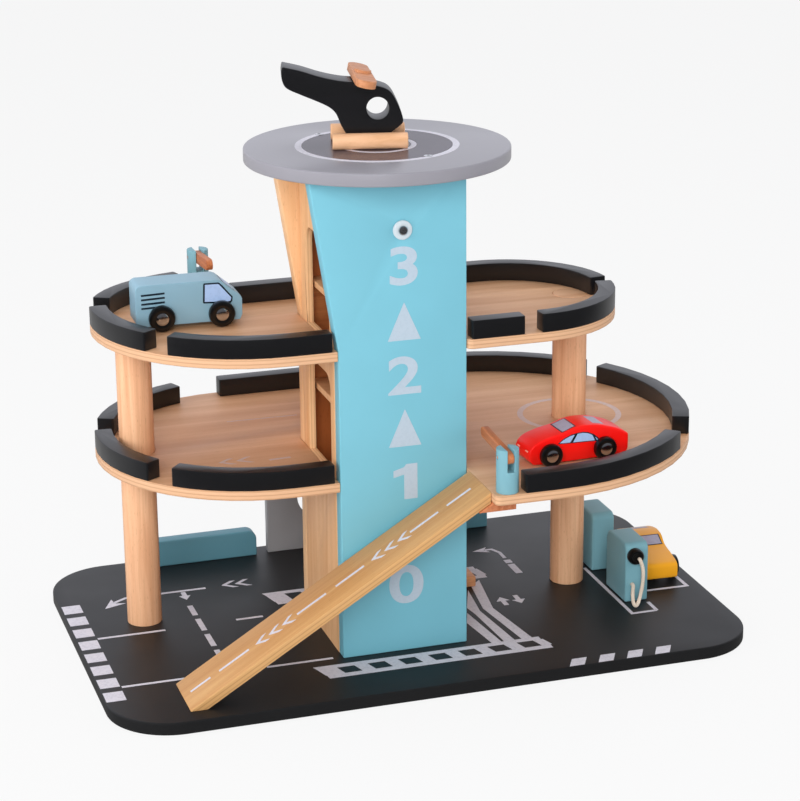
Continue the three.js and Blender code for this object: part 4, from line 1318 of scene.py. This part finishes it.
@dataclass
class YardFittings:
    """The walls at the back of the base, the fuel pumps with the hose, and the wheel stop."""

    knob_radius: float = 6.5
    hose_diameter: float = 3.0
    hose_length: float = 0.062
    hose_route: tuple[Place, ...] = (
        (189.2, -63.7, 49.3), (189.3, -65.5, 49.1), (190.7, -68, 43), (191, -68.6, 35), (190.4, -68.4, 27),
        (188.6, -68.8, 19), (186.4, -69.8, 13.4), (184.6, -70.2, 11.9), (183.1, -69.6, 13.4),
        (182.8, -67.8, 17), (183.8, -65, 21.5), (185.5, -61.6, 25), (186, -59.5, 25.6), (186, -57.7, 25.7),
    )

    def walls(self) -> None:
        """Ease the walls, the support panel and the wheel stop."""
        # the walls' blue carries a painted shade
        eased_board("rear_wall_left", SHADED_WALL_BLUE, 1.2)
        eased_board("rear_wall_right", SHADED_WALL_BLUE, 1.2)
        eased_board("rear_support_panel", DARK_GREY, 0.7)
        eased_board("wheel_stop", SMALL_WOOD, 1.2)

    def pumps(self) -> None:
        """Ease the pumps and turn the knob of the front one."""
        eased_board("pump_front", SMALL_BLUE, 1.6, segments=4)
        eased_board("pump_rear", SMALL_BLUE, 1.6, segments=4)
        knob = turned_part("pump_nozzle_seat", [
            (0, 0), (self.knob_radius, 0), (self.knob_radius, 4.6), (5.6, 5.8), (4.2, 6.0), (3.4, 5.2),
            (0, 5.0),
        ], (187.9, -57.3, 50), (0, -1, 0))
        settle(knob, TYRE_BLACK, "pump_knob")

    def hose(self) -> None:
        """Run the cord from the knob down to the pump's face."""
        data = bpy.data.curves.new("pump_cord", "CURVE")
        data.dimensions = "3D"
        data.bevel_depth = self.hose_diameter / 2 * MM
        data.bevel_resolution = 4
        data.use_fill_caps = True
        data.resolution_u = 8
        spline = data.splines.new("BEZIER")
        spline.bezier_points.add(len(self.hose_route) - 1)
        points = [Vector(point) * MM for point in self.hose_route]
        for i, (knot, point) in enumerate(zip(spline.bezier_points, points)):
            before, after = points[max(0, i - 1)], points[min(len(points) - 1, i + 1)]
            lean = (after - before).normalized()
            knot.co = point
            knot.handle_left = point - lean * (point - before).length / 3
            knot.handle_right = point + lean * (after - point).length / 3
        cord = linked("pump_cord", data)
        settle(cord, CORD, "pump_hose")

    def build(self) -> None:
        """Build all the fittings."""
        self.walls()
        self.pumps()
        self.hose()


@dataclass
class Barriers:
    """The two slotted posts with their swinging arms."""

    names: tuple[str, str] = ("front", "rear")

    def build(self) -> None:
        """Ease both posts and both arms."""
        for name in self.names:
            eased_board(f"{name}_barrier_post", SMALL_BLUE, 0.7)
            eased_board(f"{name}_barrier_arm", ARM_WOOD, 0.8)


@dataclass
class Helicopter:
    """The black helicopter on the pad, with its rotor and two skids."""

    x: float = -21.7
    y: float = -27.9
    turn: float = -14.0
    thickness: float = 25.0
    skid_radius: float = 6.0
    skid_length: float = 55.7
    hole: tuple[float, float, float] = (6.29, 28.9, 8.4)
    outline: tuple[Point, ...] = (
        (-64.5, 55.3), (-63.7, 61.0), (-50.6, 57.9), (-36.0, 53.2), (-21.4, 49.9), (-8.0, 48.5), (6.5, 45.6),
        (15.3, 41.7), (21.2, 31.9), (25.0, 20.7), (24.0, 16.9), (16.5, 11.0), (10.0, 5.0), (-14.0, 5.0),
        (-17.5, 10.3), (-21.2, 17.2), (-24.7, 25.5), (-29.1, 30.0), (-36.4, 33.9), (-50.9, 40.2),
        (-60.4, 44.8), (-63.2, 48.6),
    )

    def at(self, x: float, y: float, z: float) -> Vector:
        """Place a point of the helicopter's own frame.

        Args:
            x: How far it is along the helicopter, in millimetres.
            y: How far it is across, in millimetres.
            z: Its height over the pad, in millimetres.

        Returns:
            The point in metres of the model's frame.
        """
        angle = math.radians(self.turn)
        return Vector((self.x + x * math.cos(angle) - y * math.sin(angle),
                       self.y + x * math.sin(angle) + y * math.cos(angle), PAD_TOP + z)) * MM

    def body(self) -> None:
        """Saw the body from a thick board, bore its window and ease its edges."""
        outline = smooth_outline(self.outline)
        half = self.thickness / 2
        across = self.at(0, half, 0) - self.at(0, -half, 0)
        piece = sawn_block("helicopter_shell", [self.at(x, -half, z) for x, z in outline], across)
        x, z, radius = self.hole
        start = self.at(x, -half - 3, z) / MM
        bore = turned_part("window_bore", [(0, 0), (radius, 0), (radius, self.thickness + 6),
                                           (0, self.thickness + 6)], tuple(start), tuple(across), steps=64)
        cut(piece, bore)
        eased(piece, 1.3, segments=4)
        settle(piece, BLACK, "helicopter_body")

    def build(self) -> None:
        """Build the body, the skids and the rotor."""
        self.body()
        direction = self.at(1, 0, 0) - self.at(0, 0, 0)
        for name, side in (("front", -1), ("rear", 1)):
            start = self.at(-self.skid_length / 2, side * (self.thickness / 2 + SKID_GAP + self.skid_radius),
                            self.skid_radius) / MM
            skid = dowel_part(f"skid_{name}_turned", self.skid_radius, self.skid_length, tuple(start),
                              tuple(direction))
            settle(skid, SKID_WOOD, f"helicopter_{name}_skid")
        eased_board("helicopter_rotor", ROTOR_WOOD, 1.2)


@dataclass
class ToyCar:
    """A toy car: a shaped block with four wheels on two axles."""

    name: str
    finish: Finish
    x: float
    y: float
    floor: float
    turn: float
    length: float
    height: float
    ground_gap: float
    wheel_radius: float
    wheelbase: float
    tail: float
    outline_shares: tuple[Point, ...]
    width: float = 27.0
    edge: float = 2.2
    sharp: float = 50.0
    hub_radius: float = 4.9
    outline: list[Point] = field(init=False)

    def __post_init__(self) -> None:
        """Work out the side outline in the car's own frame."""
        self.floor += STANDING_GAP
        plain = [(x * self.length - self.tail, self.ground_gap + z * self.height)
                 for x, z in self.outline_shares]
        self.outline = smooth_outline(plain, sharp_degrees=self.sharp)

    def way(self, x: float, y: float) -> Vector:
        """Turn a direction of the car's own frame to the model's."""
        cosine, sine = math.cos(math.radians(self.turn)), math.sin(math.radians(self.turn))
        return Vector((x * cosine - y * sine, x * sine + y * cosine, 0))

    def at(self, x: float, y: float, z: float) -> Vector:
        """Return a point of the car's own frame, in metres of the model's frame."""
        return (self.way(x, y) + Vector((self.x, self.y, self.floor + z))) * MM

    def top_at(self, x: float) -> float:
        """Find the height of the block's top at a place along it.

        Args:
            x: The place, from the middle of the axles, in millimetres.

        Returns:
            The height over the floor that the car stands on, in millimetres.
        """
        heights = []
        for (x0, z0), (x1, z1) in zip(self.outline, [*self.outline[1:], self.outline[0]]):
            if x0 != x1 and min(x0, x1) <= x <= max(x0, x1):
                heights.append(z0 + (z1 - z0) * (x - x0) / (x1 - x0))
        return max(heights)

    def block(self) -> None:
        """Saw the block's outline, give it its width and round its edges."""
        corners = [self.at(x, -self.width / 2, z) for x, z in self.outline]
        piece = sawn_block(f"{self.name}_block", corners, self.way(0, self.width) * MM)
        eased(piece, self.edge, segments=5)
        settle(piece, self.finish, f"{self.name}_body")

    def wheels(self) -> None:
        """Turn each pair of wheels with its axle, and press the bright hub caps in."""
        inner = self.width / 2 + 0.6
        outer, radius, hub = inner + 6.0, self.wheel_radius, self.hub_radius
        half = [(2.0, inner), (radius - 1.4, inner), (radius - 0.4, inner + 0.5), (radius, inner + 1.6),
                (radius, outer - 2.0), (radius - 0.5, outer - 0.7), (radius - 1.8, outer), (hub + 1.2, outer),
                (hub + 0.4, outer - 0.5), (0, outer - 0.5)]
        profile = [(size, -place) for size, place in reversed(half)] + half
        cap = [(0, outer - 0.6), (hub, outer - 0.6), (hub, outer - 0.2), (hub * 0.86, outer + 0.25),
               (hub * 0.6, outer + 0.6), (hub * 0.3, outer + 0.78), (0, outer + 0.8)]
        for end, x in (("front", self.wheelbase / 2), ("rear", -self.wheelbase / 2)):
            middle, body = self.at(x, 0, self.wheel_radius) / MM, f"{self.name}_{end}_axle"
            pair = turned_part(f"{self.name}_{end}_wheel_pair", profile, tuple(middle), tuple(self.way(0, 1)))
            settle(pair, TYRE_BLACK, f"{self.name}_{end}_wheels")
            for side, way in (("left", 1), ("right", -1)):
                dome = turned_part(f"{self.name}_{end}_{side}_cap", cap, tuple(middle),
                                   tuple(self.way(0, way)), steps=32)
                settle(dome, STEEL, body=body, slot="steel")

    def side_print(self, name: str, shapes: Sequence[Sequence[Point]], ink: Finish,
                   lift: float = 0.02) -> None:
        """Print shapes on both sides of the block.

        Args:
            name: What the shapes show.
            shapes: Outlines along and up the car, measured from the middle of its axles and its floor.
            ink: Their finish.
            lift: The height of the ink's underside.
        """
        for side_name, side in (("left", 1), ("right", -1)):
            origin = self.at(0, side * self.width / 2, 0) / MM
            face = PrintFace(tuple(origin), across=tuple(self.way(-side, 0)), up=(0, 0, 1))
            facing = [[(-side * x, z) for x, z in shape] for shape in shapes]
            printed(f"{self.name}_{name}_{side_name}", face, facing, ink, body=self.name, lift=lift)

    def top_print(self, name: str, ends: tuple[Point, Point], ink: Finish, lift: float = 0.05,
                  middle: float = 0.0) -> None:
        """Print a panel that follows the block's top.

        Args:
            name: What the panel shows.
            ends: The place along the car and the half width of its rear and front ends.
            ink: Its finish.
            lift: The height of the ink over the block.
            middle: How far the panel sits to the left of the car's middle line.
        """
        (x0, half0), (x1, half1) = ends
        steps = 10
        corners, faces = [], []
        for i in range(steps + 1):
            x = x0 + (x1 - x0) * i / steps
            half = half0 + (half1 - half0) * i / steps
            corners += [self.at(x, middle + side * half, self.top_at(x) + lift) for side in (-1, 1)]
            if i:
                faces.append([2 * i - 2, 2 * i, 2 * i + 1, 2 * i - 1])
        piece = new_piece(f"{self.name}_{name}", corners, faces=faces)
        inked(piece)
        settle(piece, ink, body=self.name, slot="white_plastic")

    def prints(self) -> None:
        """Print the car's windows and lamps."""

    def build(self) -> None:
        """Build the block, the wheels and the prints."""
        self.block()
        self.wheels()
        self.prints()


class Van(ToyCar):
    """The blue van, with side windows and vents."""

    def prints(self) -> None:
        """Print the side windows, the vents and the windscreen."""
        window = [(9.4, 19), (10, 18.3), (30.8, 17.2), (32.2, 18.6), (32.7, 21.9), (23.2, 33.2), (21.8, 34),
                  (11, 34.2), (10, 33.4)]
        inner = [(10.8, 19.6), (30.3, 18.5), (31, 19.4), (31.4, 21.5), (22.5, 32.1), (21.4, 32.8),
                 (11.4, 32.9)]
        self.side_print("window_line", [window], LINE_INK)
        self.side_print("window", [inner], GLASS_INK, lift=0.08)
        vents = [stroke([(-38, z), (-19.8, z + 0.6)], 1.5) for z in (28.3, 24.9, 21.4, 18.1)]
        self.side_print("vents", vents, LINE_INK)
        self.top_print("screen_line", ((25.6, 10.3), (34.4, 11.3)), LINE_INK)
        self.top_print("screen", ((26.4, 9.5), (33.6, 10.4)), GLASS_INK, lift=0.12)


class Coupe(ToyCar):
    """The red sports car, with arched side windows and sloping screens."""

    def prints(self) -> None:
        """Print the side windows, both screens and the lamps."""
        arch = [(15.8, 16.2), (12.5, 18.7), (9.5, 20.5), (4.5, 22.3), (-0.5, 23.2), (-5.2, 23.4),
                (-9.8, 22.5), (-14, 20.6), (-17.6, 17.8), (-20.3, 14.6), (-16, 14.6), (-6, 15), (6, 15.5)]
        front = [(14.2, 16.6), (11.8, 18.4), (9, 19.9), (5, 21.4), (1.6, 22), (5.3, 16.2)]
        middle = [(-0.8, 22.4), (-5.2, 22.6), (-9.5, 21.7), (-13.2, 19.9), (-15.4, 15.3), (-6, 15.7), (3, 16)]
        rear = [(-15.6, 18.3), (-18.8, 15.3), (-17.2, 15.2)]
        self.side_print("window_line", [arch], LINE_INK)
        self.side_print("windows", [front, middle, rear], GLASS_INK, lift=0.08)
        self.top_print("screen_line", ((-0.8, 10.2), (11.2, 10.6)), LINE_INK)
        self.top_print("screen", ((0.1, 9.5), (10.3, 9.9)), SCREEN_INK, lift=0.12)
        self.top_print("rear_screen", ((-24.7, 9.3), (-15.8, 8.4)), SCREEN_INK)
        for side, y in (("left", 7.6), ("right", -7.6)):
            self.top_print(f"{side}_lamp", ((38.75, 2.3), (38.98, 2.3)), LAMP_INK, middle=y)


class Hatchback(ToyCar):
    """The yellow car beside the pumps."""

    def prints(self) -> None:
        """Print the windscreen, the rear screen and the side windows."""
        self.top_print("screen_line", ((1.2, 10.8), (10.4, 11.6)), LINE_INK)
        self.top_print("screen", ((2.0, 10.0), (9.6, 10.8)), SCREEN_INK, lift=0.12)
        self.top_print("rear_screen", ((-24, 8.6), (-16, 9.4)), SCREEN_INK)
        window = [(-2.6, 20.5), (-2.6, 27.2), (-12, 28), (-22, 24.6), (-24.5, 20.5)]
        inner = [(-3.6, 21.3), (-3.6, 26.4), (-12, 27.1), (-21.4, 23.9), (-23.1, 21.3)]
        self.side_print("window_line", [window], LINE_INK)
        self.side_print("window", [inner], GLASS_INK, lift=0.08)


@dataclass
class Studio:
    """The camera at the photograph's place, the pale floor and the soft light."""

    eye: Place = (-0.533660, -1.721346, 0.768988)
    right: Place = (0.95274, -0.30366, -0.00897)
    upward: Place = (0.10196, 0.29179, 0.95103)
    lens_mm: float = 108.408

    def camera(self) -> None:
        """Place the camera."""
        data = bpy.data.cameras.new("view")
        data.lens = self.lens_mm
        data.sensor_width = 36.0
        data.sensor_fit = "HORIZONTAL"
        data.clip_end = 60.0
        right, upward = Vector(self.right).normalized(), Vector(self.upward).normalized()
        back = right.cross(upward).normalized()
        upward = back.cross(right)
        turn = Matrix((right, upward, back)).transposed().to_4x4()
        camera = linked("view", data)
        camera.matrix_world = Matrix.Translation(Vector(self.eye)) @ turn
        bpy.context.scene.camera = camera

    def floor(self) -> None:
        """Lay the pale floor, seen as near white but lit as plain paper."""
        bpy.ops.object.select_all(action="DESELECT")
        bpy.ops.mesh.primitive_plane_add(size=40, location=(0, 0, -0.0002))
        plane = bpy.context.object
        plane.name = "studio_floor"
        made = bpy.data.materials.new("studio_paper")
        made.use_nodes = True
        tree = made.node_tree
        tree.nodes.clear()
        paper = add_node(tree, "ShaderNodeBsdfDiffuse", {"Color": linear("#D0D0D0")})
        place = add_node(tree, "ShaderNodeSeparateXYZ", {
            "Vector": add_node(tree, "ShaderNodeTexCoord").outputs["Object"],
        })
        fall = add_node(tree, "ShaderNodeMapRange", {
            "Value": place.outputs["Y"], "From Min": -0.3, "From Max": 0.3, "To Min": 0.1, "To Max": 0.68,
        })
        sheen = add_node(tree, "ShaderNodeEmission", {
            "Color": linear("#F7F7F7"), "Strength": fall.outputs["Result"],
        })
        glow = add_node(tree, "ShaderNodeEmission", {"Color": linear("#FDFDFD"), "Strength": 1.0})
        path = add_node(tree, "ShaderNodeLightPath")
        share = add_node(tree, "ShaderNodeMath", {0: path.outputs["Is Camera Ray"], 1: CAMERA_GLOW_SHARE},
                         operation="MULTIPLY")
        lit = add_node(tree, "ShaderNodeMixShader", {
            0: path.outputs["Is Glossy Ray"], 1: paper.outputs[0], 2: sheen.outputs[0],
        })
        mixed = add_node(tree, "ShaderNodeMixShader", {
            0: share.outputs[0], 1: lit.outputs[0], 2: glow.outputs[0],
        })
        add_node(tree, "ShaderNodeOutputMaterial", {"Surface": mixed.outputs[0]})
        plane.data.materials.append(made)

    def lamp(self, name: str, place: Place, aim: Place, size: float, power: float) -> None:
        """Hang a soft square lamp.

        Args:
            name: The lamp's name.
            place: Where it hangs, in metres.
            aim: The point it faces.
            size: Its side in metres.
            power: Its power in watts.
        """
        data = bpy.data.lights.new(name, "AREA")
        data.size = size
        data.energy = power
        lamp = linked(name, data)
        lamp.location = place
        lamp.rotation_euler = (Vector(aim) - Vector(place)).to_track_quat("-Z", "Y").to_euler()
        lamp.visible_glossy = False

    def build(self) -> None:
        """Set up the camera, floor, lamps and surroundings."""
        self.camera()
        self.floor()
        self.lamp("left_lamp", (-2.4, -0.6, 0.95), (0, 0, 0.2), 1.6, 32)
        self.lamp("front_lamp", (-1.0, -2.4, 1.15), (0, 0, 0.2), 1.6, 60)
        self.lamp("right_lamp", (2.2, -1.2, 1.0), (0, 0, 0.2), 1.6, 20)
        self.lamp("top_lamp", (0.1, 0.4, 2.4), (0, 0, 0.2), 2.0, 16)
        world = bpy.data.worlds.new("surroundings")
        bpy.context.scene.world = world
        world.use_nodes = True
        tree = world.node_tree
        tree.nodes.clear()
        path = add_node(tree, "ShaderNodeLightPath")
        seen = add_node(tree, "ShaderNodeMath", {
            0: path.outputs["Is Camera Ray"], 1: path.outputs["Is Transmission Ray"],
        }, operation="MAXIMUM")
        way = add_node(tree, "ShaderNodeSeparateXYZ", {
            "Vector": add_node(tree, "ShaderNodeTexCoord").outputs["Generated"],
        })
        depth = add_node(tree, "ShaderNodeMapRange", {
            "Value": way.outputs["Y"], "From Min": -0.3, "From Max": 0.6, "To Min": 0.14, "To Max": 1.0,
        })
        sky = add_node(tree, "ShaderNodeBackground", {
            "Color": linear("#F4F6FF"), "Strength": depth.outputs["Result"],
        })
        backdrop = add_node(tree, "ShaderNodeBackground", {"Color": linear("#FEFEFE"), "Strength": 1.0})
        mixed = add_node(tree, "ShaderNodeMixShader", {
            0: seen.outputs[0], 1: sky.outputs[0], 2: backdrop.outputs[0],
        })
        add_node(tree, "ShaderNodeOutputWorld", {"Surface": mixed.outputs[0]})
        bpy.context.scene.view_settings.view_transform = "Standard"


def cars() -> list[ToyCar]:
    """List the three toy cars with their sizes.

    Returns:
        The cars.
    """
    return [
        Van("van", VAN_BLUE, -153.5, 21.9, UPPER_TOP, -1.5, 82.2, 32.5, 3.5, 10.2, 46.3, 42.2, (
            (0.02, 0), (0, 0.09), (0, 0.885), (0.012, 0.956), (0.045, 1), (0.771, 1), (0.805, 0.966),
            (0.985, 0.583), (1, 0.506), (1, 0.128), (0.976, 0)), sharp=10),
        Coupe("red_car", RED, 117.3, -89.2, LOWER_TOP, 183.6, 83.2, 26.7, 1.4, 9.1, 45.4, 44.2, (
            (0.038, 0), (0.005, 0.119), (0, 0.237), (0, 0.593), (0.069, 0.727), (0.135, 0.818),
            (0.231, 0.913), (0.315, 0.972), (0.411, 1), (0.487, 0.992), (0.549, 0.96), (0.597, 0.909),
            (0.657, 0.85),
            (0.757, 0.798), (0.862, 0.719), (0.934, 0.632), (0.98, 0.514), (0.998, 0.395), (1, 0.277),
            (0.993, 0.158), (0.97, 0.047), (0.94, 0))),
        Hatchback("yellow_car", YELLOW, 225.2, 7, BASE_TOP, -92.5, 80, 24.7, 5.5, 8.6, 40.5, 39.75, (
            (0.03, 0), (0, 0.2), (0.012, 0.45), (0.05, 0.62), (0.11, 0.765), (0.24, 0.91), (0.37, 1),
            (0.46, 0.995), (0.525, 0.95), (0.625, 0.735), (0.795, 0.64), (0.95, 0.54), (0.987, 0.475),
            (1, 0.38), (1, 0.1), (0.99, 0)), edge=1.8),
    ]


def main() -> None:
    """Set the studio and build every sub-assembly."""
    logging.basicConfig(level=logging.INFO, format="%(name)s: %(message)s")
    Studio().build()
    parts = [YardFittings(), GroundBoard(), LiftTower(), Decks(), Barriers(), Helicopter(), *cars()]
    for part in parts:
        part.build()
        LOG.info("built %s", type(part).__name__)


if __name__ == "__main__":
    main()
